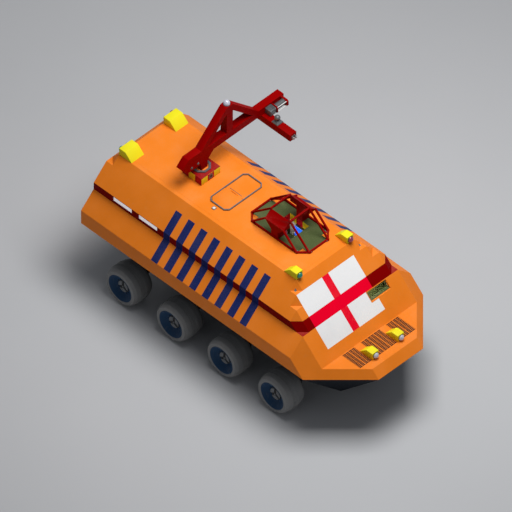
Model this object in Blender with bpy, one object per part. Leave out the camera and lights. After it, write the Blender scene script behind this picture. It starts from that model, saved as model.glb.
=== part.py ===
"""Wheeled amphibious rescue vehicle with a faceted boat-shaped hull.

The hull is drawn on a square module. Tables and outlines are in modules, x forward from the stern,
y to port and z up from the chine. The finished solids are in metres, with +X forward, +Y to port
and the origin in the middle of the flat keel plate.
"""

import math

import bmesh
import bpy
from mathutils import Matrix, Vector

# Driving sizes in metres
MODULE = 0.25
GAP = 0.0003
CLEARANCE = 0.005
TYRE_RADIUS = 0.625
TYRE_WIDTH = 0.75
BORE_RADIUS = 0.445
HUB_FACE = 0.14
AXLE_TUBE_RADIUS = 0.11
SPINDLE_RADIUS = 0.08
KINGPIN_OFFSET = 1.575
KINGPIN_RADIUS = 0.085
KINGPIN_HALF_HEIGHT = 0.27

# Driving sizes in modules
KEEL_CENTRE_X = 20.5
KEEL_DEPTH = 6.0
WALL = 0.4
AXLE_X = (6.5, 14.5, 22.5, 30.5)
STEERED_FROM = 2
AXLE_Z = -5.5
WHEEL_Y = 8.4
BAR = 0.2
ROOF_Z = 8.0
SLEW_X = 9.5
JIB_Y = 9.5
RAMP_HINGE = (-0.08, 0.0, 0.58)
RAMP_BARREL = 0.14
WINCH_AXIS = (10.5, 11.47)

# Sides of the round pieces
WHEEL_SIDES = 24
SHAFT_SIDES = 16
BALL_SIDES = 14

ROUND_ANGLE = math.radians(40)

# Columns: z, aft x, forward x, half width, forward corner cut, aft corner cut
LOWER_COURSES = (
    ((4.0, 0.0, 33.0, 7.5, 0.0, 0.0), (2.0, 0.0, 35.0, 9.5, 2.0, 0.0)),
    ((2.0, 0.0, 35.0, 9.5, 2.0, 0.0), (1.0, 0.0, 36.0, 9.5, 2.0, 0.0)),
    ((1.0, 0.0, 40.0, 9.5, 6.0, 0.0), (0.0, 0.0, 41.0, 9.5, 6.0, 0.0)),
)
UPPER_COURSES = (
    ((8.0, 1.0, 29.0, 4.5, 0.0, 0.0), (7.0, 0.0, 30.0, 5.5, 1.0, 1.0)),
    ((7.0, 0.0, 30.0, 5.5, 0.0, 0.0), (6.0, 0.0, 31.0, 6.5, 1.0, 0.0)),
    ((6.0, 0.0, 31.0, 6.5, 0.0, 0.0), (5.0, 0.0, 32.0, 7.5, 1.0, 0.0)),
)
BELT_COURSE = ((5.0, 0.0, 32.0, 7.5, 1.0, 0.0), (4.0, 0.0, 33.0, 7.5, 1.0, 0.0))
KEEL_COURSE = ((0.0, 0.0, 41.0, 9.5, 6.0, 0.0), (-6.0, 6.0, 35.0, 3.5, 0.0, 0.0))

# Columns: name, colour, roughness, metallic
FINISHES = {
    "orange": ((0.85, 0.23, 0.035), 0.5, 0.0),
    "dark_red": ((0.28, 0.006, 0.006), 0.5, 0.0),
    "black": ((0.012, 0.016, 0.022), 0.6, 0.0),
    "green": ((0.07, 0.10, 0.03), 0.7, 0.0),
    "yellow": ((0.85, 0.72, 0.04), 0.5, 0.0),
    "grey_metal": ((0.12, 0.12, 0.12), 0.45, 0.8),
    "white": ((0.85, 0.85, 0.85), 0.4, 0.0),
    "rim_blue": ((0.015, 0.04, 0.09), 0.4, 0.3),
    "rubber": ((0.06, 0.06, 0.06), 0.85, 0.0),
    "seat": ((0.04, 0.05, 0.06), 0.8, 0.0),
}


def metres(x, y, z):
    """A point in modules as a point in metres from the middle of the keel plate."""
    return Vector(((x - KEEL_CENTRE_X) * MODULE, y * MODULE, (z + KEEL_DEPTH) * MODULE))


def finish(name):
    """The material of one finish, made once."""
    if name in bpy.data.materials:
        return bpy.data.materials[name]
    colour, roughness, metallic = FINISHES[name]
    material = bpy.data.materials.new(name)
    material.use_nodes = True
    shader = material.node_tree.nodes["Principled BSDF"]
    shader.inputs["Base Color"].default_value = (*colour, 1.0)
    shader.inputs["Roughness"].default_value = roughness
    shader.inputs["Metallic"].default_value = metallic
    return material


def new_object(name, mesh, look=None):
    """An object in the scene; without a look it is a hidden helper."""
    piece = bpy.data.objects.new(name, mesh)
    bpy.context.scene.collection.objects.link(piece)
    if look is None:
        piece.hide_render = True
        piece.display_type = "WIRE"
    else:
        mesh.materials.clear()
        mesh.materials.append(finish(look))
    return piece


def mesh_from(shape, name):
    """A mesh from a bmesh, with its faces turned outwards."""
    bmesh.ops.recalc_face_normals(shape, faces=shape.faces)
    mesh = bpy.data.meshes.new(name)
    shape.to_mesh(mesh)
    shape.free()
    return mesh


def block(name, points, look=None):
    """The convex solid around some points in modules."""
    shape = bmesh.new()
    for point in points:
        shape.verts.new(metres(*point))
    hull = bmesh.ops.convex_hull(shape, input=shape.verts)
    spare = hull["geom_interior"] + hull["geom_unused"]
    inside = {item for item in spare if isinstance(item, bmesh.types.BMVert)}
    bmesh.ops.delete(shape, geom=list(inside), context="VERTS")
    flat = math.radians(0.5)
    bmesh.ops.dissolve_limit(shape, angle_limit=flat, verts=shape.verts, edges=shape.edges)
    return new_object(name, mesh_from(shape, name), look)


def box(name, xs, ys, zs, look=None):
    """A box in modules from three (low, high) pairs."""
    return block(name, [(x, y, z) for x in xs for y in ys for z in zs], look)


def prism(name, outline, axis, low, high, look=None):
    """A flat outline in modules, extruded along one axis; it may be concave."""
    order = {
        "X": lambda a, b, h: (h, a, b),
        "Y": lambda a, b, h: (a, h, b),
        "Z": lambda a, b, h: (a, b, h),
    }[axis]
    shape = bmesh.new()
    ends = [[shape.verts.new(metres(*order(a, b, h))) for a, b in outline] for h in (low, high)]
    for end in ends:
        shape.faces.new(end)
    count = len(outline)
    for i in range(count):
        j = (i + 1) % count
        shape.faces.new((ends[0][i], ends[0][j], ends[1][j], ends[1][i]))
    return new_object(name, mesh_from(shape, name), look)


def section(z, aft, forward, half, fore_cut, aft_cut):
    """The corner points of one level of a course."""
    points = []
    for side in (-1, 1):
        points += [(forward - fore_cut, side * half, z), (forward, side * (half - fore_cut), z)]
        points += [(aft + aft_cut, side * half, z), (aft, side * (half - aft_cut), z)]
    return points


def course(name, levels, look=None):
    """A convex layer of the hull between its levels."""
    return block(name, [point for level in levels for point in section(*level)], look)


def raised(levels):
    """The same levels with the lowest one lifted by the gap between touching pieces."""
    *upper, last = levels
    return (*upper, (last[0] + GAP / MODULE, *last[1:]))


def turned_mesh(name, outline, sides, closed=False):
    """A mesh turned about Y from (along, radius) points in metres."""
    shape = bmesh.new()
    turns = [2 * math.pi * (i + 0.5) / sides for i in range(sides)]
    rings = []
    for along, radius in outline:
        if radius == 0.0:
            rings.append([shape.verts.new((0.0, along, 0.0))])
            continue
        ring = [(radius * math.cos(turn), along, radius * math.sin(turn)) for turn in turns]
        rings.append([shape.verts.new(point) for point in ring])
    for first, second in zip(rings, rings[1:] + rings[:1] if closed else rings[1:]):
        for i in range(sides):
            j = (i + 1) % sides
            corners = [ring[k % len(ring)] for ring, k in ((first, i), (first, j), (second, j), (second, i))]
            shape.faces.new(list(dict.fromkeys(corners)))
    mesh = mesh_from(shape, name)
    mesh.shade_smooth()
    mesh.set_sharp_from_angle(angle=ROUND_ANGLE)
    return mesh


def rod(name, centre, radius, low, high, axis="Y", sides=SHAFT_SIDES, look=None):
    """A round bar in modules along one axis, from low to high; centre gives the other two coordinates."""
    outline = [(low, 0.0), (low, radius), (high, radius), (high, 0.0)]
    mesh = turned_mesh(name, [(along * MODULE, out * MODULE) for along, out in outline], sides)
    if axis == "Z":
        mesh.transform(Matrix.Rotation(math.radians(90), 4, "X"))
        start = (*centre, 0.0)
    elif axis == "X":
        mesh.transform(Matrix.Rotation(math.radians(-90), 4, "Z"))
        start = (0.0, *centre)
    else:
        start = (centre[0], 0.0, centre[1])
    mesh.transform(Matrix.Translation(metres(*start)))
    return new_object(name, mesh, look)


def ball(name, centre, radius, look=None):
    """A round lens or ball in modules."""
    steps = BALL_SIDES // 2
    outline = [
        (-radius * MODULE * math.cos(math.pi * i / steps), radius * MODULE * math.sin(math.pi * i / steps))
        for i in range(steps + 1)
    ]
    outline[0], outline[-1] = (-radius * MODULE, 0.0), (radius * MODULE, 0.0)
    mesh = turned_mesh(name, outline, BALL_SIDES)
    mesh.transform(Matrix.Translation(metres(*centre)))
    return new_object(name, mesh, look)


def beam(name, start, end, look=None):
    """A square bar in modules between two points, reaching half its width past each."""
    first, last = Vector(start), Vector(end)
    along = (last - first).normalized()
    side = along.cross(Vector((0, 0, 1)))
    side = side.normalized() if side.length > 0.1 else Vector((1, 0, 0))
    up = side.cross(along)
    half = BAR / 2
    corners = []
    for middle in (first - along * half, last + along * half):
        corners += [middle + side * a + up * b for a in (-half, half) for b in (-half, half)]
    return block(name, [tuple(corner) for corner in corners], look)


def combine(piece, others, operation):
    """Boolean modifiers that join the others to the piece, or cut them from it."""
    for other in others:
        change = piece.modifiers.new(other.name, "BOOLEAN")
        change.operation = operation
        change.solver = "EXACT"
        change.object = other


def fuse(piece, others):
    """Joins the others to the piece."""
    combine(piece, others, "UNION")
    return piece


def cut(piece, others):
    """Cuts the others from the piece."""
    combine(piece, others, "DIFFERENCE")
    return piece


def pivot(piece, x, y, z):
    """Moves the object's origin onto its joint, leaving the shape where it is."""
    place = metres(x, y, z)
    piece.data.transform(Matrix.Translation(-place))
    piece.location = place
    return piece


def ramp_opening():
    """The cutter for the stern doorway, which runs through all three bodies of the hull."""
    return box("cutter_ramp", (-1.0, 1.0), (-3.0, 3.0), (0.4, 6.4))


def keel_hull():
    """The closed black underbody, with a tunnel for each axle tube."""
    keel = course("keel_hull", KEEL_COURSE, "black")
    radius = (AXLE_TUBE_RADIUS + GAP) / MODULE
    tunnels = [rod(f"cutter_axle_{i}", (x, AXLE_Z), radius, -10, 10) for i, x in enumerate(AXLE_X)]
    return cut(keel, tunnels)


# Columns: name, low y, high y of each bow grille
BOW_GRILLES = (
    ("bow_grille_starboard", -4.4, -2.5),
    ("bow_grille_middle", -1.5, 1.5),
    ("bow_grille_port", 2.5, 4.4),
)
GRILLE_X = (36.1, 38.95)
GRILLE_DEPTH = 0.3
GRILLE_PLATE = 0.14
GRILLE_SLOTS = 12
GRILLE_BORDER = 0.12


def lower_hull(opening):
    """The orange lower body with the bow deck, the slot in its slope and the recesses for the grilles."""
    first, second, third = LOWER_COURSES
    hull = course("lower_hull", first, "orange")
    fuse(hull, [course("join_lower_side", second), course("join_bow", raised(third))])
    inside = [
        (4.1, WALL, 32.3, 6.8, 0.0, 0.0), (2.0, WALL, 34.4, 8.9, 2.0, 0.0), (-0.1, WALL, 35.4, 8.9, 2.0, 0.0),
    ]
    cutters = [course("cutter_cabin_lower", inside), opening]
    cutters.append(box("cutter_slot", (31.0, 35.0), (2.5, 5.5), (3.08, 3.92)))
    for name, low, high in BOW_GRILLES:
        cutters.append(box(f"cutter_{name}", GRILLE_X, (low, high), (1.0 - GRILLE_DEPTH, 2.0)))
    cut(hull, cutters)
    lugs = []
    for i, (low, high) in enumerate(((-2.5, -1.9), (1.9, 2.5))):
        ends = (low + GAP / MODULE, high) if low > 0 else (low, high - GAP / MODULE)
        lugs.append(rod(f"join_hinge_{i}", (RAMP_HINGE[0], RAMP_HINGE[2]), RAMP_BARREL, *ends))
        lugs.append(box(f"join_lug_low_{i}", (-0.2, 0.3), ends, (0.06, 0.37)))
        lugs.append(box(f"join_lug_high_{i}", (-0.2, 0.04), ends, (0.3, RAMP_HINGE[2])))
    return fuse(hull, lugs)


# Columns: low x, high x of the light recesses in each side of the belt
LIGHT_RECESSES = ((3.0, 6.0), (7.0, 10.0))


def belt(opening):
    """The dark red band between the two orange bodies, with its light recesses."""
    ring = course("belt", raised(BELT_COURSE), "dark_red")
    inside = [(z, WALL, 31.4, 7.1, 1.2, 0.0) for z in (3.5, 5.5)]
    cutters = [course("cutter_cabin_belt", inside), opening]
    for low, high in LIGHT_RECESSES:
        for side in (-1, 1):
            ys = sorted((side * 7.22, side * 8.0))
            cutters.append(box(f"cutter_light_{low:.0f}_{side}", (low, high), ys, (4.1, 4.95)))
    return cut(ring, cutters)


# The plate that lies in the roof's frame
ROOF_X = (1.5, 28.5)
ROOF_Y = (-4.0, 4.0)
ROOF_UNDERSIDE = 7.6


def upper_hull(opening):
    """The orange upper body: walls that lean inwards, and a frame for the roof."""
    first, second, third = UPPER_COURSES
    hull = course("upper_hull", first, "orange")
    fuse(hull, [course("join_upper_middle", second), course("join_upper_low", raised(third))])
    inside = [(7.61, 1.2, 28.8, 4.3, 1.0, 0.5), (4.9, WALL, 31.4, 6.9, 1.0, 0.0)]
    seat = box("cutter_roof", ROOF_X, ROOF_Y, (ROOF_UNDERSIDE, 8.5))
    return cut(hull, [course("cutter_cabin_upper", inside), seat, opening])


# The green deck is a cross: the same rectangle with a module square left out of each corner
DECK_BOXES = (((19.0, 26.0), (-1.5, 3.5)), ((18.0, 27.0), (-0.5, 2.5)))
HATCH_HOLE = ((13.3, 15.7), (-2.3, 0.3))


def deck_box(name, number, shrink, zs, look=None):
    """One of the two boxes of the green deck, smaller all round by shrink."""
    (x0, x1), (y0, y1) = DECK_BOXES[number]
    return box(name, (x0 + shrink, x1 - shrink), (y0 + shrink, y1 - shrink), zs, look)


def roof_deck():
    """The flat roof plate with its openings for the cockpit and the hatch."""
    edge = GAP / MODULE
    xs = (ROOF_X[0] + edge, ROOF_X[1] - edge)
    ys = (ROOF_Y[0] + edge, ROOF_Y[1] - edge)
    roof = box("roof_deck", xs, ys, (ROOF_UNDERSIDE, ROOF_Z), "orange")
    cutters = [deck_box(f"cutter_deck_{i}", i, 0.0, (7.0, 9.0)) for i in range(len(DECK_BOXES))]
    cutters.append(box("cutter_hatch", *HATCH_HOLE, (7.0, 9.0)))
    return cut(roof, cutters)


def cabin_floor():
    """The green cabin floor and the raised step behind the front slot."""
    edge = CLEARANCE / MODULE
    low = GAP / MODULE
    levels = [(z, WALL + edge, 35.1, 8.9 - edge, 2.0, 0.0) for z in (low, 0.3)]
    floor = course("cabin_floor", levels, "green")
    return fuse(floor, [box("join_step", (29.0, 34.0), (1.5, 6.5), (0.2, 2.0))])


TUB_X = (21.0, 24.0)
TUB_Y = (-0.5, 2.5)
TUB_FLOOR = 4.8
TUB_WALL = 0.2


def cockpit_tub():
    """The green deck under the canopy and the square cockpit well below it."""
    edge = GAP / MODULE
    tub = deck_box("cockpit_tub", 0, edge, (ROOF_UNDERSIDE, ROOF_Z), "green")
    second = deck_box("join_deck", 1, edge, (ROOF_UNDERSIDE, ROOF_Z))
    outer_x = (TUB_X[0] - TUB_WALL, TUB_X[1] + TUB_WALL)
    outer_y = (TUB_Y[0] - TUB_WALL, TUB_Y[1] + TUB_WALL)
    fuse(tub, [second, box("join_well", outer_x, outer_y, (TUB_FLOOR - TUB_WALL, 7.8))])
    return cut(tub, [box("cutter_well", TUB_X, TUB_Y, (TUB_FLOOR, 9.0))])


# Columns: start point, end point of the canopy's bars on the starboard half and the middle
CANOPY_MIDDLE = 1.0
CANOPY_TOP = 10.85
CANOPY_BARS = (
    ((18.0, -0.5, 8.1), (19.0, -1.5, 8.1)),
    ((19.0, -1.5, 8.1), (26.0, -1.5, 8.1)),
    ((26.0, -1.5, 8.1), (27.0, -0.5, 8.1)),
    ((27.0, -0.5, 8.1), (24.0, -0.5, CANOPY_TOP)),
    ((26.0, -1.5, 8.1), (24.0, -1.5, 10.0)),
    ((18.0, -0.5, 8.1), (21.0, -0.5, CANOPY_TOP)),
    ((19.0, -1.5, 8.1), (21.0, -1.5, 10.0)),
)
CANOPY_CROSS_BARS = (
    ((18.0, -0.5, 8.1), (18.0, 2.5, 8.1)),
    ((27.0, -0.5, 8.1), (27.0, 2.5, 8.1)),
    ((21.0, -0.5, CANOPY_TOP), (21.0, 2.5, CANOPY_TOP)),
    ((24.0, -0.5, CANOPY_TOP), (24.0, 2.5, CANOPY_TOP)),
)
# A gusset is a post that flares outwards up to its knee line, under a sloping plate
GUSSET_POST_X = (22.0, 23.0)
GUSSET_TOP_X = (21.0, 24.0)
GUSSET_LEVELS = (8.02, 9.0, 10.0)


def mirrored(point):
    """The same point on the other side of the canopy's middle."""
    x, y, z = point
    return (x, 2 * CANOPY_MIDDLE - y, z)


def canopy_frame():
    """The open red cage over the cockpit, with a solid gusset on each side."""
    frame = beam("canopy_frame", *CANOPY_BARS[1], "dark_red")
    joins = []
    bars = [bar for i, bar in enumerate(CANOPY_BARS) if i != 1]
    bars += [tuple(mirrored(point) for point in bar) for bar in CANOPY_BARS]
    for i, bar in enumerate(bars + list(CANOPY_CROSS_BARS)):
        joins.append(beam(f"join_bar_{i}", *bar))
    for side in (-1, 1):
        inner, outer = CANOPY_MIDDLE + side * 1.5, CANOPY_MIDDLE + side * 2.5
        foot, knee, top = GUSSET_LEVELS
        joins.append(box(f"join_post_{side}", GUSSET_POST_X, sorted((inner, outer)), (foot, knee + BAR)))
        flare = [(x, y, knee) for x in GUSSET_POST_X for y in (inner, outer)]
        flare += [(x, inner, top) for x in GUSSET_POST_X] + [(x, outer, top) for x in GUSSET_TOP_X]
        joins.append(block(f"join_flare_{side}", flare))
        slope = ((outer, top - BAR / 2), (inner, top - BAR / 2), (inner, CANOPY_TOP), (outer, top))
        joins.append(prism(f"join_slope_{side}", slope, "X", *GUSSET_TOP_X))
    fuse(frame, joins)
    under_roof = (7.0, ROOF_Z + GAP / MODULE)
    return cut(frame, [box("cutter_canopy_foot", (17.0, 28.0), (-3.0, 5.0), under_roof)])


def driver_seat():
    """A plain helm seat low in the cockpit well."""
    seat = box("driver_seat", (21.3, 22.8), (0.2, 1.8), (TUB_FLOOR + GAP / MODULE, 5.25), "seat")
    back = box("join_seat_back", (21.2, 21.55), (0.3, 1.7), (5.0, 5.85))
    return fuse(seat, [back])


def helm_console():
    """The instrument unit along the port wall and the dash in front of the seat."""
    edge = GAP / MODULE
    low = TUB_FLOOR + edge
    side = box("helm_console", (22.0, TUB_X[1] - edge), (2.25, TUB_Y[1] - edge), (low, 6.95), "black")
    return fuse(side, [box("join_dash", (23.6, TUB_X[1] - edge), (0.3, 2.4), (low, 5.8))])


HATCH_X = (13.0, 16.0)
HATCH_Y = (-2.5, 3.5)
HATCH_CHAMFER = 0.45
HATCH_RIM = 0.12


def chamfered(xs, ys, cut_length):
    """A rectangle's outline with its corners cut."""
    (x0, x1), (y0, y1) = xs, ys
    return [
        (x0 + cut_length, y0), (x1 - cut_length, y0), (x1, y0 + cut_length), (x1, y1 - cut_length),
        (x1 - cut_length, y1), (x0 + cut_length, y1), (x0, y1 - cut_length), (x0, y0 + cut_length),
    ]


def hatch_frame():
    """The thin grey rim around the hatch and the space that its panel slides over."""
    low = ROOF_Z + GAP / MODULE
    rim = prism("hatch_frame", chamfered(HATCH_X, HATCH_Y, HATCH_CHAMFER), "Z", low, 8.17, "grey_metal")
    xs = (HATCH_X[0] + HATCH_RIM, HATCH_X[1] - HATCH_RIM)
    ys = (HATCH_Y[0] + HATCH_RIM, HATCH_Y[1] - HATCH_RIM)
    return cut(rim, [prism("cutter_hatch_rim", chamfered(xs, ys, HATCH_CHAMFER - 0.05), "Z", 7.5, 8.7)])


def hatch_panel():
    """The sliding hatch cover with its grab bar."""
    edge = HATCH_RIM + CLEARANCE / MODULE
    xs = (HATCH_X[0] + edge, HATCH_X[1] - edge)
    ys = (HATCH_Y[0] + edge, 0.48)
    low = ROOF_Z + GAP / MODULE
    panel = prism("hatch_panel", chamfered(xs, ys, HATCH_CHAMFER), "Z", low, 8.12, "orange")
    return fuse(panel, [box("join_grab", (14.0, 15.0), (0.12, 0.24), (8.05, 8.24))])


def hatch_button():
    """The small white call button beside the hatch."""
    low = ROOF_Z + GAP / MODULE
    return box("hatch_button", (14.25, 14.75), (-3.25, -2.75), (low, 8.1), "white")


# Columns: name, low and high y on the starboard side, lens x, lens z, lens radius, lens ys
LAMP_HOUSINGS = (
    ("stern_lamp", (-4.5, -2.5), 1.0, 8.5, 0.38, (-4.0, -3.0)),
    ("roof_lamp", (-4.5, -3.5), 29.0, 8.43, 0.36, (-4.0,)),
    ("bow_lamp", (-2.5, -1.5), 39.0, 1.43, 0.36, (-2.0,)),
)
# The outline of each wedge in x and z
LAMP_OUTLINES = {
    "stern_lamp": ((1.0, 8.0), (3.0, 8.0), (2.0, 9.0), (1.0, 9.0)),
    "roof_lamp": ((27.0, 8.0), (29.0, 8.0), (29.0, 8.9), (28.0, 8.9)),
    "bow_lamp": ((37.0, 1.0), (39.0, 1.0), (39.0, 1.9), (38.0, 1.9)),
}


def lamp_housings():
    """The yellow lamp wedges with their round lenses, a pair of each."""
    lift = GAP / MODULE
    for name, (low, high), lens_x, lens_z, radius, lens_ys in LAMP_HOUSINGS:
        lifted = [(x, z + lift) for x, z in LAMP_OUTLINES[name]]
        for side, sign in (("starboard", 1), ("port", -1)):
            ys = sorted((sign * low, sign * high))
            housing = prism(f"{name}_{side}", lifted, "Y", *ys, "yellow")
            centres = [(lens_x, sign * y, lens_z) for y in lens_ys]
            fuse(housing, [ball(f"join_{name}_{side}_{i}", at, radius) for i, at in enumerate(centres)])


def bow_grilles():
    """The three slotted plates in the bow deck."""
    edge = GAP / MODULE
    xs = (GRILLE_X[0] + edge, GRILLE_X[1] - edge)
    pitch = (xs[1] - xs[0]) / GRILLE_SLOTS
    for name, low, high in BOW_GRILLES:
        plate = box(name, xs, (low + edge, high - edge), (1.0 - GRILLE_PLATE, 1.0), "black")
        slot_ys = (low + GRILLE_BORDER, high - GRILLE_BORDER)
        slots = []
        for i in range(GRILLE_SLOTS):
            start = xs[0] + pitch * (i + 0.25)
            slots.append(box(f"cutter_{name}_{i}", (start, start + pitch / 2), slot_ys, (0.5, 1.5)))
        cut(plate, slots)


def rear_ramp():
    """The stern door, hinged along its lower edge."""
    edge = CLEARANCE / MODULE
    ramp = box("rear_ramp", (0.0, 0.3), (-3.0 + edge, 3.0 - edge), (0.4 + edge, 6.4 - edge), "orange")
    lug_spaces = enumerate(((-2.6, -1.85), (1.85, 2.6)))
    cut(ramp, [box(f"cutter_notch_{i}", (-1.0, 1.0), ys, (0.0, 0.75)) for i, ys in lug_spaces])
    fuse(ramp, [rod("join_ramp_barrel", (RAMP_HINGE[0], RAMP_HINGE[2]), RAMP_BARREL, -1.9, 1.9)])
    return pivot(ramp, *RAMP_HINGE)


def crane_base():
    """The square plinth of the crane with a round socket in its forward face."""
    base = box("crane_base", (8.0, 11.0), (-1.5, 1.5), (ROOF_Z + GAP / MODULE, 9.0), "yellow")
    return cut(base, [rod("cutter_socket", (0.0, 8.5), 0.3, 10.88, 12.0, "X")])


def slew_ring():
    """The eight-sided grey ring around the crane's foot."""
    low = 9.0 + GAP / MODULE
    ring = rod("slew_ring", (SLEW_X, 0.0), 1.16, low, 9.16, "Z", 8, "grey_metal")
    return cut(ring, [rod("cutter_ring", (SLEW_X, 0.0), 0.87, 8.5, 9.5, "Z", 8)])


# Outline of the crane's arm in y and z, from the counterweight end round over the top
BOOM_OUTLINE = (
    (-3.5, 11.0), (-2.5, 12.0), (-0.5, 12.0), (3.5, 16.0), (4.5, 16.0), (8.5, 12.0), (12.5, 12.0),
    (12.5, 11.0), (1.5, 11.0), (0.5, 10.0), (0.5, 9.0), (-0.5, 9.0), (-0.5, 10.0), (-2.5, 10.0),
)
BOOM_HOLES = (((0.5, 12.0), (3.5, 12.0), (3.5, 15.0)), ((4.5, 12.0), (7.5, 12.0), (4.5, 15.0)))
BOOM_X = (9.0, 10.0)


def boom():
    """The crane's arm: one thick trussed plate that turns on its foot."""
    lift = GAP / MODULE
    outline = [(y, z + lift if z == 9.0 else z) for y, z in BOOM_OUTLINE]
    arm = prism("boom", outline, "X", *BOOM_X, "dark_red")
    cut(arm, [prism(f"cutter_truss_{i}", hole, "X", 8.0, 11.0) for i, hole in enumerate(BOOM_HOLES)])
    return pivot(arm, SLEW_X, 0.0, 9.0)


def boom_lamp():
    """The white dome lamp on top of the crane."""
    dome = ball("boom_lamp", (SLEW_X, 4.0, 16.15), 0.39, "white")
    return cut(dome, [box("cutter_dome", (8.0, 11.0), (3.0, 5.0), (15.0, 16.0 + GAP / MODULE))])


# Columns: name, low y, high y of the winch's cheeks
WINCH_CHEEKS = (("motor", 10.44, 10.56), ("tip", 11.93, 12.2))
CHEEK_OUTLINE = ((10.9, 11.02), (11.1, 11.19), (11.1, 11.78), (10.9, 11.95))
TIE_RODS = ((10.97, 11.8), (10.97, 11.17))


def winch_frame():
    """The winch's motor, its two cheeks and the tie rods between them, on the forward face of the arm."""
    start = BOOM_X[1] + GAP / MODULE
    outline = [(start, CHEEK_OUTLINE[0][1]), *CHEEK_OUTLINE, (start, CHEEK_OUTLINE[-1][1])]
    frame = box("winch_frame", (start, 10.9), (9.54, 10.5), (11.03, 11.86), "grey_metal")
    joins = [prism(f"join_cheek_{name}", outline, "Y", low, high) for name, low, high in WINCH_CHEEKS]
    ends = (WINCH_CHEEKS[0][1] + 0.02, WINCH_CHEEKS[1][2] - 0.02)
    for i, centre in enumerate(TIE_RODS):
        joins.append(rod(f"join_tie_{i}", centre, 0.05, *ends, sides=8))
    return fuse(frame, joins)


def winch_drum():
    """The rope drum, which turns between the cheeks."""
    low = WINCH_CHEEKS[0][2] + GAP / MODULE
    high = WINCH_CHEEKS[1][1] - GAP / MODULE
    middle = (low + high) / 2
    half = (high - low) / 2 * MODULE
    flange = 0.1 * MODULE
    outline = [
        (-half, 0.0), (-half, 0.1), (-half + flange, 0.1), (-half + flange, 0.08),
        (half - flange, 0.08), (half - flange, 0.1), (half, 0.1), (half, 0.0),
    ]
    drum = new_object("winch_drum", turned_mesh("winch_drum", outline, SHAFT_SIDES), "grey_metal")
    drum.location = metres(WINCH_AXIS[0], middle, WINCH_AXIS[1])
    return drum


JIB_TOP = 11.0 - CLEARANCE / MODULE


def jib():
    """The short arm that swings out under the tip, with its coupling prongs."""
    arm = box("jib", (9.0, 14.5), (9.0, 10.0), (10.0, JIB_TOP), "dark_red")
    joins = [rod("join_jib_boss", (SLEW_X, JIB_Y), 0.3, 10.9, 11.0 - GAP / MODULE, "Z")]
    for i, y in enumerate((9.25, 9.6)):
        joins.append(box(f"join_prong_{i}", (14.4, 14.85), (y, y + 0.15), (10.35, 10.65)))
    return pivot(fuse(arm, joins), SLEW_X, JIB_Y, 10.5)


CAMERA_X = 12.0
# Columns: half width and height of each level of the camera's foot
CAMERA_FOOT = ((0.475, JIB_TOP + GAP / MODULE), (0.475, 11.14), (0.2, 11.35))


def camera_dome():
    """The ball camera on its flared foot."""
    corners = [(a, b) for a in (-1, 1) for b in (-1, 1)]
    foot = [(CAMERA_X + a * half, JIB_Y + b * half, z) for half, z in CAMERA_FOOT for a, b in corners]
    camera = block("camera_dome", foot, "grey_metal")
    neck = rod("join_camera_neck", (CAMERA_X, JIB_Y), 0.16, 11.2, 11.6, "Z")
    return fuse(camera, [neck, ball("join_camera_ball", (CAMERA_X, JIB_Y, 11.7), 0.35)])


def wheel_centre(x, side):
    """The middle of one wheel in metres."""
    return metres(x, side * WHEEL_Y, AXLE_Z)


def wheels():
    """Eight balloon tyres on dished rims; each wheel's origin is its centre."""
    half = TYRE_WIDTH / 2
    shoulder, crown = half - 0.1, half - 0.25
    tread = [
        (crown, TYRE_RADIUS), (shoulder, TYRE_RADIUS - 0.03), (half, TYRE_RADIUS - 0.08), (half, BORE_RADIUS),
    ]
    ring = [(-along, radius) for along, radius in reversed(tread)] + tread
    tyre_mesh = turned_mesh("tyre", ring, WHEEL_SIDES, closed=True)
    seat, edge = BORE_RADIUS - GAP, half - 0.01
    hub_cap, hub_plate = HUB_FACE + 0.12, HUB_FACE + 0.075
    dish = [(hub_cap, 0.0), (hub_cap, 0.1), (hub_plate, 0.1), (hub_plate, 0.25)]
    barrel = [(edge, seat - 0.015), (edge, seat), (-edge, seat), (-edge, seat - 0.035)]
    back = [(HUB_FACE + 0.13, seat - 0.035), (HUB_FACE, 0.25), (HUB_FACE, 0.0)]
    rim_mesh = turned_mesh("rim", dish + barrel + back, WHEEL_SIDES)
    for number, x in enumerate(AXLE_X, 1):
        for name, side in (("starboard", -1), ("port", 1)):
            for kind, mesh, look in (("tyre", tyre_mesh, "rubber"), ("rim", rim_mesh, "rim_blue")):
                piece = new_object(f"{kind}_{number}_{name}", mesh, look)
                piece.location = wheel_centre(x, side)
                piece.rotation_euler.z = 0.0 if side > 0 else math.pi


SPINDLE_END = WHEEL_Y * MODULE + HUB_FACE - GAP
TUBE_END = 1.42


def fork_pieces(x, side):
    """The yoke that holds a kingpin at the end of a steered axle."""
    ys = sorted((side * 1.36 / MODULE, side * 1.44 / MODULE))
    reach = sorted((side * 1.36 / MODULE, side * 1.66 / MODULE))
    width = (x - 0.34, x + 0.34)
    low, high = KINGPIN_HALF_HEIGHT / MODULE, (KINGPIN_HALF_HEIGHT + 0.055) / MODULE
    pieces = [box(f"join_yoke_{x}_{side}", width, ys, (AXLE_Z - high, AXLE_Z + high))]
    for i, (start, end) in enumerate(((-high, -low), (low, high))):
        pieces.append(box(f"join_lug_{x}_{side}_{i}", width, reach, (AXLE_Z + start, AXLE_Z + end)))
    return pieces


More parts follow.
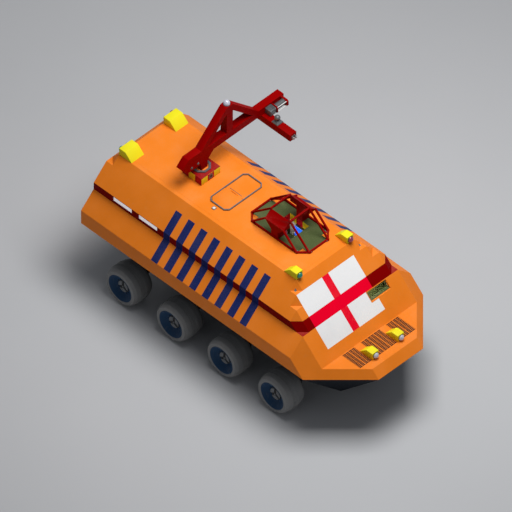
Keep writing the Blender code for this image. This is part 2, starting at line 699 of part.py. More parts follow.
def axles():
    """Four axle tubes through the underbody: two end in spindles and two in yokes."""
    for number, x in enumerate(AXLE_X):
        steered = number >= STEERED_FROM
        if steered:
            ends = [(TUBE_END, AXLE_TUBE_RADIUS), (TUBE_END, 0.0)]
        else:
            ends = [
                (1.6, AXLE_TUBE_RADIUS), (1.6, 0.2), (1.66, 0.2), (1.66, SPINDLE_RADIUS),
                (SPINDLE_END, SPINDLE_RADIUS), (SPINDLE_END, 0.0),
            ]
        outline = [(-along, radius) for along, radius in reversed(ends)] + ends
        name = f"axle_{number + 1}"
        axle = new_object(name, turned_mesh(name, outline, SHAFT_SIDES), "grey_metal")
        axle.location = metres(x, 0.0, AXLE_Z)
        if steered:
            fuse(axle, fork_pieces(x, -1) + fork_pieces(x, 1))


def knuckles():
    """The steering knuckles; each turns on its kingpin and carries a wheel on its spindle."""
    for number, x in enumerate(AXLE_X, 1):
        if number <= STEERED_FROM:
            continue
        for name, side in (("starboard", -1), ("port", 1)):
            y = side * KINGPIN_OFFSET / MODULE
            half = (KINGPIN_HALF_HEIGHT - GAP) / MODULE
            zs = (AXLE_Z - half, AXLE_Z + half)
            radius = KINGPIN_RADIUS / MODULE
            pin = rod(f"knuckle_{number}_{name}", (x, y), radius, *zs, "Z", look="grey_metal")
            ends = sorted((y, side * SPINDLE_END / MODULE))
            radius = SPINDLE_RADIUS / MODULE * 0.95
            spindle = rod(f"join_spindle_{number}_{name}", (x, AXLE_Z), radius, *ends)
            pivot(fuse(pin, [spindle]), x, y, AXLE_Z)


def main():
    """Clears the scene and builds every piece."""
    for piece in list(bpy.data.objects):
        bpy.data.objects.remove(piece)
    opening = ramp_opening()
    keel_hull()
    lower_hull(opening)
    belt(opening)
    upper_hull(opening)
    roof_deck()
    cabin_floor()
    cockpit_tub()
    canopy_frame()
    driver_seat()
    helm_console()
    hatch_frame()
    hatch_panel()
    hatch_button()
    lamp_housings()
    bow_grilles()
    rear_ramp()
    crane_base()
    slew_ring()
    boom()
    boom_lamp()
    winch_frame()
    winch_drum()
    jib()
    camera_dome()
    wheels()
    axles()
    knuckles()


main()
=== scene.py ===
import logging
import math
from dataclasses import dataclass
from enum import Enum
from typing import Any, Callable, Iterable, Sequence

import bmesh
import bpy
from mathutils import Matrix, Vector


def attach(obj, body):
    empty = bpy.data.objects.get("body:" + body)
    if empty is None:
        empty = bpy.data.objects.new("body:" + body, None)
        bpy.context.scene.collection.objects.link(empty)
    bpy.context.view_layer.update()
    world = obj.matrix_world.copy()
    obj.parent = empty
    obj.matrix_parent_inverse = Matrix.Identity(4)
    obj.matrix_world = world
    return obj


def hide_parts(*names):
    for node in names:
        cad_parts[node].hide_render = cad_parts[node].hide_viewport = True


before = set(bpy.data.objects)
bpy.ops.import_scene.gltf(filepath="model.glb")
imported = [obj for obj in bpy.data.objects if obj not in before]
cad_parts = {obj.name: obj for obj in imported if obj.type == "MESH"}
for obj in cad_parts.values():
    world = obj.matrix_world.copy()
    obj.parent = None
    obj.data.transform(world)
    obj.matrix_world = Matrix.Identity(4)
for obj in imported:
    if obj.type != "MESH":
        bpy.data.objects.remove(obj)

log = logging.getLogger("rescue_vehicle")

Triple = tuple[float, float, float]
Pair = tuple[float, float]

MODULE = 0.25
KEEL_CENTRE_X = 20.5
KEEL_DEPTH = 6.0
GROUND_Z = -0.5
SMOOTH_ANGLE = math.radians(35)
AXLE_X = (6.5, 14.5, 22.5, 30.5)
SIDES = {"starboard": -1, "port": 1}


class Axis(Enum):
    """The direction in which a turned or drawn-out shape runs."""

    X = (1.0, 0.0, 0.0)
    Y = (0.0, 1.0, 0.0)
    Z = (0.0, 0.0, 1.0)
    AFT = (-1.0, 0.0, 0.0)
    STARBOARD = (0.0, -1.0, 0.0)


class Layout(Enum):
    """How a tree of fasteners lays out its heads."""

    CIRCLE = "circle"
    POINTS = "points"


def at(x: float, y: float, z: float) -> Vector:
    """A point in hull modules as a point in metres."""
    return Vector(((x - KEEL_CENTRE_X) * MODULE, y * MODULE, (z + KEEL_DEPTH) * MODULE))


def srgb(red: int, green: int, blue: int) -> Triple:
    """A screen colour from 0 to 255 as linear light."""
    values = [c / 255 for c in (red, green, blue)]
    return tuple(v / 12.92 if v <= 0.04045 else ((v + 0.055) / 1.055) ** 2.4 for v in values)


def towards(axis: Axis, point: Vector) -> Matrix:
    """A placement that turns +Z to the axis and moves the origin to the point."""
    turn = Vector((0, 0, 1)).rotation_difference(Vector(axis.value)).to_matrix().to_4x4()
    return Matrix.Translation(point) @ turn


def to_mesh(shape: bmesh.types.BMesh, name: str) -> bpy.types.Mesh:
    """Closes a bmesh into a mesh whose faces point outwards.

    Args:
        shape: the bmesh, which is freed.
        name: the name of the mesh.

    Returns:
        The new mesh.
    """
    bmesh.ops.remove_doubles(shape, verts=shape.verts, dist=1e-6)
    bmesh.ops.recalc_face_normals(shape, faces=shape.faces)
    mesh = bpy.data.meshes.new(name)
    shape.to_mesh(mesh)
    shape.free()
    return mesh


def lathe(profile: Sequence[Pair], sides: int, closed: bool = False) -> bpy.types.Mesh:
    """Turns a profile about +Z.

    Args:
        profile: (height, radius) points in metres.
        sides: how many sides the round has.
        closed: whether the profile is a loop, as a tyre's is.

    Returns:
        The turned mesh.
    """
    shape = bmesh.new()
    rings = []
    for height, radius in profile:
        count = 1 if radius < 1e-9 else sides
        angles = [math.tau * (i + 0.5) / sides for i in range(count)]
        rings.append([shape.verts.new((radius * math.cos(a), radius * math.sin(a), height)) for a in angles])
    for first, second in zip(rings, rings[1:] + rings[:1] if closed else rings[1:]):
        for i in range(sides):
            j = (i + 1) % sides
            corners = (first[i % len(first)], first[j % len(first)], second[j % len(second)], second[i % len(second)])
            face = list(dict.fromkeys(corners))
            if len(face) > 2:
                shape.faces.new(face)
    return to_mesh(shape, "turned")


def block(low: Vector, high: Vector, round_by: float = 0.0, steps: int = 2) -> bpy.types.Mesh:
    """A block between two corners with rounded edges.

    Args:
        low: one corner in metres.
        high: the opposite corner.
        round_by: radius of its edges in metres.
        steps: how many faces each round has.

    Returns:
        The block's mesh.
    """
    shape = bmesh.new()
    bmesh.ops.create_cube(shape, size=1.0)
    size, middle = high - low, (high + low) / 2
    for vertex in shape.verts:
        vertex.co = Vector([c * abs(s) + m for c, s, m in zip(vertex.co, size, middle)])
    if round_by > 0:
        bmesh.ops.bevel(shape, geom=shape.edges[:], offset=round_by, segments=steps, profile=0.5, affect="EDGES")
    return to_mesh(shape, "block")


def prism(outline: Sequence[Pair], axis: Axis, low: float, high: float, round_by: float = 0.0) -> bpy.types.Mesh:
    """Draws a flat outline in modules out along one axis.

    Args:
        outline: corner points in the two other coordinates, in x, y, z order.
        axis: the axis that it is drawn along.
        low: where it starts, in modules.
        high: where it ends.
        round_by: radius of its edges in metres.

    Returns:
        The prism's mesh.
    """
    orders: dict[Axis, Callable[[float, float, float], Vector]] = {
        Axis.X: lambda a, b, h: at(h, a, b),
        Axis.Y: lambda a, b, h: at(a, h, b),
        Axis.Z: lambda a, b, h: at(a, b, h),
    }
    shape = bmesh.new()
    ends = [[shape.verts.new(orders[axis](a, b, h)) for a, b in outline] for h in (low, high)]
    for end in ends:
        shape.faces.new(end)
    for i in range(len(outline)):
        j = (i + 1) % len(outline)
        shape.faces.new((ends[0][i], ends[0][j], ends[1][j], ends[1][i]))
    if round_by > 0:
        bmesh.ops.recalc_face_normals(shape, faces=shape.faces)
        bmesh.ops.bevel(shape, geom=shape.edges[:], offset=round_by, segments=2, profile=0.5, affect="EDGES")
    return to_mesh(shape, "prism")


def tube(points: Sequence[Vector], radius: float, sides: int = 12) -> bpy.types.Mesh:
    """A round bar along a smooth line of points.

    Args:
        points: the middle of the bar, in metres.
        radius: its radius in metres.
        sides: how many sides the round has.

    Returns:
        The bar's mesh, with closed ends.
    """
    shape = bmesh.new()
    rings = []
    last = len(points) - 1
    for i, point in enumerate(points):
        along = (points[min(i + 1, last)] - points[max(i - 1, 0)]).normalized()
        side = along.cross(Vector((0, 0, 1)) if abs(along.z) < 0.9 else Vector((1, 0, 0))).normalized()
        up = side.cross(along)
        angles = [math.tau * k / sides for k in range(sides)]
        ring = [shape.verts.new(point + (side * math.cos(a) + up * math.sin(a)) * radius) for a in angles]
        if rings:
            for k in range(sides):
                n = (k + 1) % sides
                shape.faces.new((rings[-1][k], rings[-1][n], ring[n], ring[k]))
        rings.append(ring)
    shape.faces.new(rings[0])
    shape.faces.new(rings[-1])
    return to_mesh(shape, "tube")


def placed(mesh: bpy.types.Mesh, placement: Matrix) -> bpy.types.Mesh:
    """Moves a mesh and gives it back."""
    mesh.transform(placement)
    return mesh


def merged(meshes: Iterable[bpy.types.Mesh]) -> bpy.types.Mesh:
    """Puts several meshes into one.

    Args:
        meshes: the meshes, which are removed unless they are the result.

    Returns:
        One mesh with all their faces.
    """
    shape = bmesh.new()
    for mesh in meshes:
        shape.from_mesh(mesh)
        bpy.data.meshes.remove(mesh)
    mesh = bpy.data.meshes.new("merged")
    shape.to_mesh(mesh)
    shape.free()
    return mesh


def clean_copy(node: str) -> bpy.types.Mesh:
    """A CAD node's mesh with its corners joined and its flat faces made whole.

    Args:
        node: the name of the node.

    Returns:
        A copy of the node's mesh that takes a bevel.
    """
    shape = bmesh.new()
    shape.from_mesh(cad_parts[node].data)
    bmesh.ops.remove_doubles(shape, verts=shape.verts, dist=1e-4)
    bmesh.ops.dissolve_limit(shape, angle_limit=math.radians(1), verts=shape.verts, edges=shape.edges)
    return to_mesh(shape, node)


class Graph:
    """Adds nodes to one shader or geometry tree and joins their sockets."""

    def __init__(self, tree: bpy.types.NodeTree) -> None:
        """Keeps the tree that the nodes go into."""
        self.tree = tree

    def add(self, kind: str, inputs: dict[Any, Any] | None = None, **settings: Any) -> bpy.types.Node:
        """Adds one node.

        Args:
            kind: the node's type name.
            inputs: values or sockets for its inputs, by name or number.
            settings: its own settings.

        Returns:
            The new node.
        """
        node = self.tree.nodes.new(kind)
        for key, value in settings.items():
            setattr(node, key, value)
        for key, value in (inputs or {}).items():
            self.put(node.inputs[key], value)
        return node

    def put(self, socket: bpy.types.NodeSocket, value: Any) -> None:
        """Joins a socket to another, or sets its value."""
        if isinstance(value, bpy.types.NodeSocket):
            self.tree.links.new(value, socket)
        elif isinstance(value, tuple) and len(value) == 3 and socket.type == "RGBA":
            socket.default_value = (*value, 1.0)
        else:
            socket.default_value = value

    def math(self, operation: str, *values: Any) -> bpy.types.NodeSocket:
        """The result of a Math node."""
        kind = "ShaderNodeMath"
        return self.add(kind, dict(enumerate(values)), operation=operation).outputs[0]

    def blend(self, factor: Any, first: Any, second: Any, mode: str = "MIX") -> bpy.types.NodeSocket:
        """The colour result of a Mix node."""
        node = self.add("ShaderNodeMix", data_type="RGBA", blend_type=mode)
        for number, value in ((0, factor), (6, first), (7, second)):
            self.put(node.inputs[number], value)
        return node.outputs[2]

    def noise(self, vector: Any, scale: float, detail: float = 3.0) -> bpy.types.NodeSocket:
        """The value of a Noise Texture node."""
        inputs = {"Vector": vector, "Scale": scale, "Detail": detail}
        return self.add("ShaderNodeTexNoise", inputs).outputs["Fac"]

    def ramp(self, value: Any, low: float, high: float, start: Any = 0.0, end: Any = 1.0) -> bpy.types.NodeSocket:
        """The value taken from low..high to start..end, and held there."""
        inputs = {"Value": value, "From Min": low, "From Max": high, "To Min": start, "To Max": end}
        return self.add("ShaderNodeMapRange", inputs).outputs[0]

    def group(self, tree: bpy.types.NodeTree, **inputs: Any) -> bpy.types.Node:
        """Adds a group node.

        Args:
            tree: the group's tree.
            inputs: its inputs, with _ for each space in a name.

        Returns:
            The group node.
        """
        kind = "ShaderNodeGroup" if self.tree.bl_idname == "ShaderNodeTree" else "GeometryNodeGroup"
        node = self.add(kind, node_tree=tree)
        for name, value in inputs.items():
            self.put(node.inputs[name.replace("_", " ")], value)
        return node


SOCKETS = {"float": "NodeSocketFloat", "colour": "NodeSocketColor", "vector": "NodeSocketVector",
           "int": "NodeSocketInt", "material": "NodeSocketMaterial", "geometry": "NodeSocketGeometry"}


def new_tree(name: str, kind: str, inputs: dict[str, str], outputs: dict[str, str]) -> tuple[Graph, Any, Any]:
    """Makes an empty node group with named sockets.

    Args:
        name: the group's name.
        kind: ShaderNodeTree or GeometryNodeTree.
        inputs: the kind of socket of each input, by name.
        outputs: the kind of socket of each output, by name.

    Returns:
        The graph, the Group Input node's sockets and the Group Output node.
    """
    tree = bpy.data.node_groups.new(name, kind)
    for direction, sockets in (("INPUT", inputs), ("OUTPUT", outputs)):
        for label, socket in sockets.items():
            tree.interface.new_socket(name=label, in_out=direction, socket_type=SOCKETS[socket])
    graph = Graph(tree)
    start = graph.add("NodeGroupInput")
    return graph, start.outputs, graph.add("NodeGroupOutput")


class ShaderGroups:
    """The shader groups that the finishes share, each made once."""

    def __init__(self) -> None:
        """Builds every group."""
        self.grid = self._grid()
        self.band = self._band()
        self.paint = self._paint()
        self.metal = self._metal()
        self.grain = self._grain()

    @staticmethod
    def _grid() -> bpy.types.NodeTree:
        """Object coordinates in hull modules: X, Y, Z and the distance from the centre plane."""
        outputs = {"X": "float", "Y": "float", "Z": "float", "Side": "float"}
        graph, _, end = new_tree("module_grid", "ShaderNodeTree", {}, outputs)
        place = graph.add("ShaderNodeTexCoord").outputs["Object"]
        x, y, z = graph.add("ShaderNodeSeparateXYZ", {0: place}).outputs
        graph.put(end.inputs["X"], graph.math("MULTIPLY_ADD", x, 1 / MODULE, KEEL_CENTRE_X))
        across = graph.math("DIVIDE", y, MODULE)
        graph.put(end.inputs["Y"], across)
        graph.put(end.inputs["Z"], graph.math("MULTIPLY_ADD", z, 1 / MODULE, -KEEL_DEPTH))
        graph.put(end.inputs["Side"], graph.math("ABSOLUTE", across))
        return graph.tree

    @staticmethod
    def _band() -> bpy.types.NodeTree:
        """A mask that is 1 while a value lies between two limits."""
        inputs = {"Value": "float", "Low": "float", "High": "float"}
        graph, given, end = new_tree("band_mask", "ShaderNodeTree", inputs, {"Mask": "float"})
        above = graph.math("GREATER_THAN", given["Value"], given["Low"])
        below = graph.math("LESS_THAN", given["Value"], given["High"])
        graph.put(end.inputs["Mask"], graph.math("MULTIPLY", above, below))
        return graph.tree

    @staticmethod
    def _paint() -> bpy.types.NodeTree:
        """Sprayed paint: cloudy tone, orange peel, rain streaks, dust on level faces and worn rounded edges."""
        inputs = {"Colour": "colour", "Undercoat": "colour", "Dust Colour": "colour", "Edge Radius": "float",
                  "Wear": "float", "Dust": "float", "Gloss": "float"}
        outputs = {"Colour": "colour", "Roughness": "float", "Height": "float", "Normal": "vector"}
        graph, given, end = new_tree("sprayed_paint", "ShaderNodeTree", inputs, outputs)
        place = graph.add("ShaderNodeTexCoord").outputs["Object"]
        cloud = graph.noise(place, 1.3, 4.0)
        fleck = graph.noise(place, 34.0, 4.0)
        peel = graph.noise(place, 210.0, 2.0)
        long_way = graph.add("ShaderNodeMapping", {"Vector": place, "Scale": (9.0, 9.0, 0.7)}).outputs[0]
        streak = graph.ramp(graph.noise(long_way, 1.6, 5.0), 0.56, 0.78)
        shape = graph.add("ShaderNodeNewGeometry").outputs
        rounded = graph.add("ShaderNodeBevel", {"Radius": given["Edge Radius"]}, samples=4).outputs[0]
        facing = graph.add("ShaderNodeVectorMath", {0: rounded, 1: shape["True Normal"]}, operation="DOT_PRODUCT")
        edge = graph.ramp(facing.outputs["Value"], 0.995, 0.93)
        worn = graph.math("MULTIPLY", edge, graph.ramp(graph.math("ADD", fleck, cloud), 1.02, 1.16))
        worn = graph.math("MULTIPLY", worn, given["Wear"])
        up = graph.add("ShaderNodeSeparateXYZ", {0: shape["True Normal"]}).outputs["Z"]
        level = graph.math("MULTIPLY", graph.ramp(up, 0.5, 1.0), graph.ramp(graph.math("ADD", fleck, cloud), 0.9, 1.25))
        dusty = graph.math("MULTIPLY", graph.math("MAXIMUM", level, graph.math("MULTIPLY", streak, 0.6)), given["Dust"])
        tone = graph.ramp(cloud, 0.3, 0.7, 0.94, 1.03)
        colour = graph.blend(1.0, given["Colour"], graph.add("ShaderNodeCombineColor", {0: tone, 1: tone, 2: tone}).outputs[0],
                             "MULTIPLY")
        colour = graph.blend(dusty, colour, given["Dust Colour"])
        graph.put(end.inputs["Colour"], graph.blend(worn, colour, given["Undercoat"]))
        rough = graph.math("ADD", given["Gloss"], graph.math("MULTIPLY", dusty, 0.35))
        rough = graph.math("ADD", rough, graph.ramp(fleck, 0.3, 0.7, -0.04, 0.04))
        graph.put(end.inputs["Roughness"], rough)
        height = graph.math("ADD", graph.math("MULTIPLY", peel, 0.25), graph.math("MULTIPLY", fleck, 0.2))
        graph.put(end.inputs["Height"], graph.math("SUBTRACT", height, graph.math("MULTIPLY", worn, 0.6)))
        graph.put(end.inputs["Normal"], rounded)
        return graph.tree

    @staticmethod
    def _metal() -> bpy.types.NodeTree:
        """Machined or cast metal: drawn lines and smudges."""
        inputs = {"Colour": "colour", "Stain": "colour", "Lines": "vector", "Gloss": "float", "Stained": "float"}
        outputs = {"Colour": "colour", "Roughness": "float", "Height": "float"}
        graph, given, end = new_tree("worked_metal", "ShaderNodeTree", inputs, outputs)
        place = graph.add("ShaderNodeTexCoord").outputs["Object"]
        drawn = graph.add("ShaderNodeMapping", {"Vector": place, "Scale": given["Lines"]}).outputs[0]
        lines = graph.noise(drawn, 40.0, 4.0)
        smudge = graph.noise(place, 7.0, 5.0)
        stained = graph.math("MULTIPLY", graph.ramp(smudge, 0.45, 0.75), given["Stained"])
        tone = graph.ramp(lines, 0.3, 0.7, 0.82, 1.12)
        colour = graph.blend(1.0, given["Colour"], graph.add("ShaderNodeCombineColor", {0: tone, 1: tone, 2: tone}).outputs[0],
                             "MULTIPLY")
        graph.put(end.inputs["Colour"], graph.blend(stained, colour, given["Stain"]))
        rough = graph.math("ADD", given["Gloss"], graph.ramp(smudge, 0.3, 0.7, -0.08, 0.14))
        graph.put(end.inputs["Roughness"], rough)
        graph.put(end.inputs["Height"], lines)
        return graph.tree

    @staticmethod
    def _grain() -> bpy.types.NodeTree:
        """Moulded rubber, plastic or coated cloth: two sizes of grain and a rubbed bloom."""
        inputs = {"Colour": "colour", "Bloom": "colour", "Grain": "float", "Gloss": "float", "Amount": "float"}
        outputs = {"Colour": "colour", "Roughness": "float", "Height": "float"}
        graph, given, end = new_tree("moulded_grain", "ShaderNodeTree", inputs, outputs)
        place = graph.add("ShaderNodeTexCoord").outputs["Object"]
        fine = graph.add("ShaderNodeTexVoronoi", {"Vector": place, "Scale": given["Grain"]}).outputs["Distance"]
        patch = graph.noise(place, 3.0, 5.0)
        bloom = graph.math("MULTIPLY", graph.ramp(patch, 0.42, 0.72), given["Amount"])
        graph.put(end.inputs["Colour"], graph.blend(bloom, given["Colour"], given["Bloom"]))
        graph.put(end.inputs["Roughness"], graph.math("ADD", given["Gloss"], graph.ramp(patch, 0.3, 0.7, -0.06, 0.08)))
        graph.put(end.inputs["Height"], graph.math("ADD", fine, graph.math("MULTIPLY", patch, 0.4)))
        return graph.tree


GROUPS = ShaderGroups()


@dataclass(frozen=True)
class Finish:
    """What every finish has: a name, a slot name and a colour."""

    name: str
    slot: str
    colour: Triple
    gloss: float = 0.5

    def material(self) -> bpy.types.Material:
        """The finish's material, made once.

        Returns:
            The material, with its nodes in place.
        """
        if self.name in bpy.data.materials:
            return bpy.data.materials[self.name]
        material = bpy.data.materials.new(self.name)
        material.use_nodes = True
        graph = Graph(material.node_tree)
        self.dress(graph, material.node_tree.nodes["Principled BSDF"])
        return material

    def dress(self, graph: Graph, shader: bpy.types.Node) -> None:
        """Adds the nodes that make the finish.

        Args:
            graph: the material's tree.
            shader: its Principled BSDF.
        """
        raise NotImplementedError

    @staticmethod
    def relief(graph: Graph, shader: bpy.types.Node, height: Any, distance: float, normal: Any = None) -> None:
        """Joins a height to the shader through a Bump node.

        Args:
            graph: the material's tree.
            shader: its Principled BSDF.
            height: the socket that gives the height.
            distance: how deep the relief is in metres.
            normal: a normal to start from, if any.
        """
        bump = graph.add("ShaderNodeBump", {"Height": height, "Distance": distance, "Strength": 1.0})
        if normal is not None:
            graph.put(bump.inputs["Normal"], normal)
        graph.put(shader.inputs["Normal"], bump.outputs[0])


@dataclass(frozen=True)
class Paint(Finish):
    """Sprayed paint in one colour, or in the colours of a pattern."""

    undercoat: Triple = srgb(120, 116, 110)
    dust_colour: Triple = srgb(190, 170, 140)
    edge_radius: float = 0.006
    wear: float = 0.35
    dust: float = 0.12
    shine: float = 0.12

    def pattern(self, graph: Graph) -> Any:
        """The paint's colour before wear; a plain coat has no pattern."""
        return self.colour

    def dress(self, graph: Graph, shader: bpy.types.Node) -> None:
        """Puts the paint group between the colour and the shader.

        Args:
            graph: the material's tree.
            shader: its Principled BSDF.
        """
        coat = graph.group(GROUPS.paint, Colour=self.pattern(graph), Undercoat=self.undercoat,
                           Dust_Colour=self.dust_colour, Edge_Radius=self.edge_radius, Wear=self.wear,
                           Dust=self.dust, Gloss=self.gloss)
        graph.put(shader.inputs["Base Color"], coat.outputs["Colour"])
        graph.put(shader.inputs["Roughness"], coat.outputs["Roughness"])
        shader.inputs["Specular IOR Level"].default_value = self.shine
        self.relief(graph, shader, coat.outputs["Height"], 0.0008, coat.outputs["Normal"])

    @staticmethod
    def between(graph: Graph, value: Any, low: float, high: float) -> Any:
        """The band mask of a value."""
        return graph.group(GROUPS.band, Value=value, Low=low, High=high).outputs[0]

    def window(self, graph: Graph, *limits: tuple[Any, float, float]) -> Any:
        """The product of several band masks.

        Args:
            graph: the material's tree.
            limits: (value, low, high) of each band.

        Returns:
            A socket that is 1 where every value is between its limits.
        """
        mask: Any = 1.0
        for value, low, high in limits:
            mask = graph.math("MULTIPLY", mask, self.between(graph, value, low, high))
        return mask


@dataclass(frozen=True)
class HullPaint(Paint):
    """The hull's paint: upright blue bars on both sides, the flag on the bow slope, a lining colour inside, and a
    lighter red on the ledge by the bow corners, which is painted light.
    """

    outer_sum: float = 12.3
    inner: Triple = (12.2, 9.2, 7.55)
    corner_sum: float = 42.2
    bar_blue: Triple = srgb(27, 42, 104)
    flag_white: Triple = srgb(253, 253, 253)
    flag_red: Triple = srgb(255, 0, 44)
    lining: Triple = srgb(120, 120, 112)
    bar_range: Pair = (11.0, 26.0)
    row_is_red: bool = False
    # A lighter red than the belt's for the ledge at height 4: a lit copy of the same paint, painted light.
    lit_ledge_red: Triple = srgb(160, 0, 0)

    def pattern(self, graph: Graph) -> Any:
        """Lays the bars and the flag over the base colour.

        Args:
            graph: the material's tree.

        Returns:
            The colour socket.
        """
        x, y, z, side = graph.group(GROUPS.grid).outputs
        slope = graph.math("ADD", x, z)
        lean = graph.math("ADD", side, z)
        inside = self.window(graph, (slope, -9.0, 36.55), (lean, -9.0, self.inner[0]), (side, -1.0, self.inner[1]),
                             (z, -9.0, self.inner[2]), (x, 0.3, 35.6),
                             (graph.math("ADD", x, lean), -9.0, self.corner_sum),
                             (graph.math("SUBTRACT", x, z), -6.92, 99.0),
                             (graph.math("SUBTRACT", x, lean), -11.42, 99.0))
        share = graph.math("FRACT", graph.math("DIVIDE", graph.math("SUBTRACT", x, self.bar_range[0]), 2.0))
        reach = side if self.row_is_red else lean
        bars = self.window(graph, (share, -1.0, 0.5), (z, 2.0, 7.0), (x, *self.bar_range), (reach, self.outer_sum, 99.0))
        colour = graph.blend(bars, self.colour, self.bar_blue)
        # The ledge by the bow corners takes the lighter red: painted light on its top face.
        lit_ledge = self.window(graph, (z, 3.99, 4.01), (graph.math("ADD", x, side), 39.4, 99.0))
        colour = graph.blend(lit_ledge, colour, self.lit_ledge_red)
        front = [(slope, 36.8, 37.2), (y, -5.5, 3.5), (x, 30.0, 35.0)]
        flag = self.window(graph, *front)
        notch = self.window(graph, (y, 2.42, 9.0), (x, 33.0, 34.0))
        flag = graph.math("MULTIPLY", flag, graph.math("SUBTRACT", 1.0, notch))
        row = self.between(graph, x, 32.0, 33.0)
        cross = graph.math("MAXIMUM", self.between(graph, y, -1.5, -0.5), row)
        colour = graph.blend(flag, colour, graph.blend(cross, self.flag_white, self.flag_red))
        return graph.blend(inside, colour, self.lining)


@dataclass(frozen=True)
class SquaresPaint(Paint):
    """Paint in squares of one module, as on the crane's plinth and round the cockpit well."""

    second: Triple = srgb(150, 140, 28)
    deck: Triple = srgb(160, 0, 0)
    panel: Triple = srgb(238, 238, 238)
    around: Triple = (9.5, 0.0, 9.0)
    well: bool = False

    def pattern(self, graph: Graph) -> Any:
        """Lays squares on the upright faces and a plain colour on the level ones; in the well, the upright faces below
        the roof slab get a darker copy of the deck green, which is painted shade, and a pale panel.

        Args:
            graph: the material's tree.

        Returns:
            The colour socket.
        """
        x, y, z, side = graph.group(GROUPS.grid).outputs
        normal = graph.add("ShaderNodeNewGeometry").outputs["True Normal"]
        level = graph.math("GREATER_THAN", graph.add("ShaderNodeSeparateXYZ", {0: normal}).outputs["Z"], 0.5)
        cells = graph.math("ADD", graph.math("FLOOR", x), graph.math("FLOOR", graph.math("ADD", y, 0.5)))
        odd = graph.math("MODULO", cells, 2.0)
        colour = graph.blend(odd, self.colour, self.second)
        if self.well:
            # Below the roof slab the walls take the undercoat colour, a darker copy of the deck green: painted shade.
            low = graph.math("LESS_THAN", z, 7.0)
            wall = self.window(graph, (x, 21.0, 22.0), (y, 2.4, 2.6))
            colour = graph.blend(low, colour, graph.blend(wall, self.undercoat, self.panel))
            return graph.blend(level, colour, self.deck)
        offset = graph.math("SUBTRACT", x, self.around[0])
        reach = graph.math("SQRT", graph.math("ADD", graph.math("POWER", offset, 2.0), graph.math("POWER", y, 2.0)))
        disc = graph.math("LESS_THAN", reach, 0.95)
        return graph.blend(level, colour, graph.blend(disc, self.deck, srgb(255, 140, 43)))


@dataclass(frozen=True)
class Metal(Finish):
    """Bare or plated metal."""

    stain: Triple = srgb(60, 58, 55)
    lines: Triple = (1.0, 1.0, 12.0)
    metallic: float = 0.85
    stained: float = 0.35

    def dress(self, graph: Graph, shader: bpy.types.Node) -> None:
        """Puts the metal group before the shader.

        Args:
            graph: the material's tree.
            shader: its Principled BSDF.
        """
        skin = graph.group(GROUPS.metal, Colour=self.colour, Stain=self.stain, Lines=self.lines,
                           Gloss=self.gloss, Stained=self.stained)
        graph.put(shader.inputs["Base Color"], skin.outputs["Colour"])
        graph.put(shader.inputs["Roughness"], skin.outputs["Roughness"])
        shader.inputs["Metallic"].default_value = self.metallic
        self.relief(graph, shader, skin.outputs["Height"], 0.0004)


@dataclass(frozen=True)
class Moulded(Finish):
    """Rubber, plastic or coated cloth."""

    bloom: Triple = srgb(120, 116, 110)
    grain: float = 160.0
    amount: float = 0.3
    depth: float = 0.0008
    sheen: float = 0.0

    def dress(self, graph: Graph, shader: bpy.types.Node) -> None:
        """Puts the grain group before the shader.

        Args:
            graph: the material's tree.
            shader: its Principled BSDF.
        """
        skin = graph.group(GROUPS.grain, Colour=self.colour, Bloom=self.bloom, Grain=self.grain,
                           Gloss=self.gloss, Amount=self.amount)
        graph.put(shader.inputs["Base Color"], skin.outputs["Colour"])
        graph.put(shader.inputs["Roughness"], skin.outputs["Roughness"])
        shader.inputs["Sheen Weight"].default_value = self.sheen
        self.relief(graph, shader, skin.outputs["Height"], self.depth)


@dataclass(frozen=True)
class Woven(Finish):
    """Woven seat cloth with crossing threads."""

    thread: Triple = srgb(90, 10, 24)
    pitch: float = 420.0

    def dress(self, graph: Graph, shader: bpy.types.Node) -> None:
        """Weaves two sets of threads over the surface.

        Args:
            graph: the material's tree.
            shader: its Principled BSDF.
        """
        place = graph.add("ShaderNodeTexCoord").outputs["Object"]
        waves = []
        for direction in ("X", "Y", "Z"):
            inputs = {"Vector": place, "Scale": self.pitch / 6, "Distortion": 0.4}
            waves.append(graph.add("ShaderNodeTexWave", inputs, bands_direction=direction).outputs["Fac"])
        weave = graph.math("MULTIPLY", graph.math("ADD", waves[0], waves[2]), waves[1])
        patch = graph.noise(place, 9.0, 4.0)
        colour = graph.blend(weave, self.thread, self.colour)
        colour = graph.blend(graph.ramp(patch, 0.45, 0.8, 0.0, 0.35), colour, self.thread)
        graph.put(shader.inputs["Base Color"], colour)
        graph.put(shader.inputs["Roughness"], graph.ramp(weave, 0.0, 2.0, self.gloss + 0.1, self.gloss - 0.05))
        shader.inputs["Sheen Weight"].default_value = 0.3
        self.relief(graph, shader, weave, 0.0006)


@dataclass(frozen=True)
class Lens(Finish):
    """A fluted lamp lens, with no reflector built behind it."""

    clear: float = 0.25
    glow: float = 0.0

    def dress(self, graph: Graph, shader: bpy.types.Node) -> None:
        """Flutes the glass, darkens its colour towards the edge of each flute cell as painted shade, and dulls it with
        fine dust.

        Args:
            graph: the material's tree.
            shader: its Principled BSDF.
        """
        place = graph.add("ShaderNodeTexCoord").outputs["Object"]
        cells = graph.add("ShaderNodeTexVoronoi", {"Vector": place, "Scale": 60.0}).outputs["Distance"]
        dust = graph.noise(place, 14.0, 4.0)
        # Darker towards each flute cell's edge, in the colour and in the glow: painted shade of the flutes.
        dark = tuple(c * 0.55 for c in self.colour)
        graph.put(shader.inputs["Base Color"], graph.blend(graph.ramp(cells, 0.0, 0.6), self.colour, dark))
        graph.put(shader.inputs["Roughness"], graph.ramp(dust, 0.3, 0.8, self.gloss, self.gloss + 0.25))
        shader.inputs["Transmission Weight"].default_value = self.clear
        shader.inputs["IOR"].default_value = 1.49
        shader.inputs["Coat Weight"].default_value = 0.6
        if self.glow > 0:
            graph.put(shader.inputs["Emission Color"], graph.blend(cells, self.colour, dark))
            shader.inputs["Emission Strength"].default_value = self.glow
        self.relief(graph, shader, cells, 0.001)


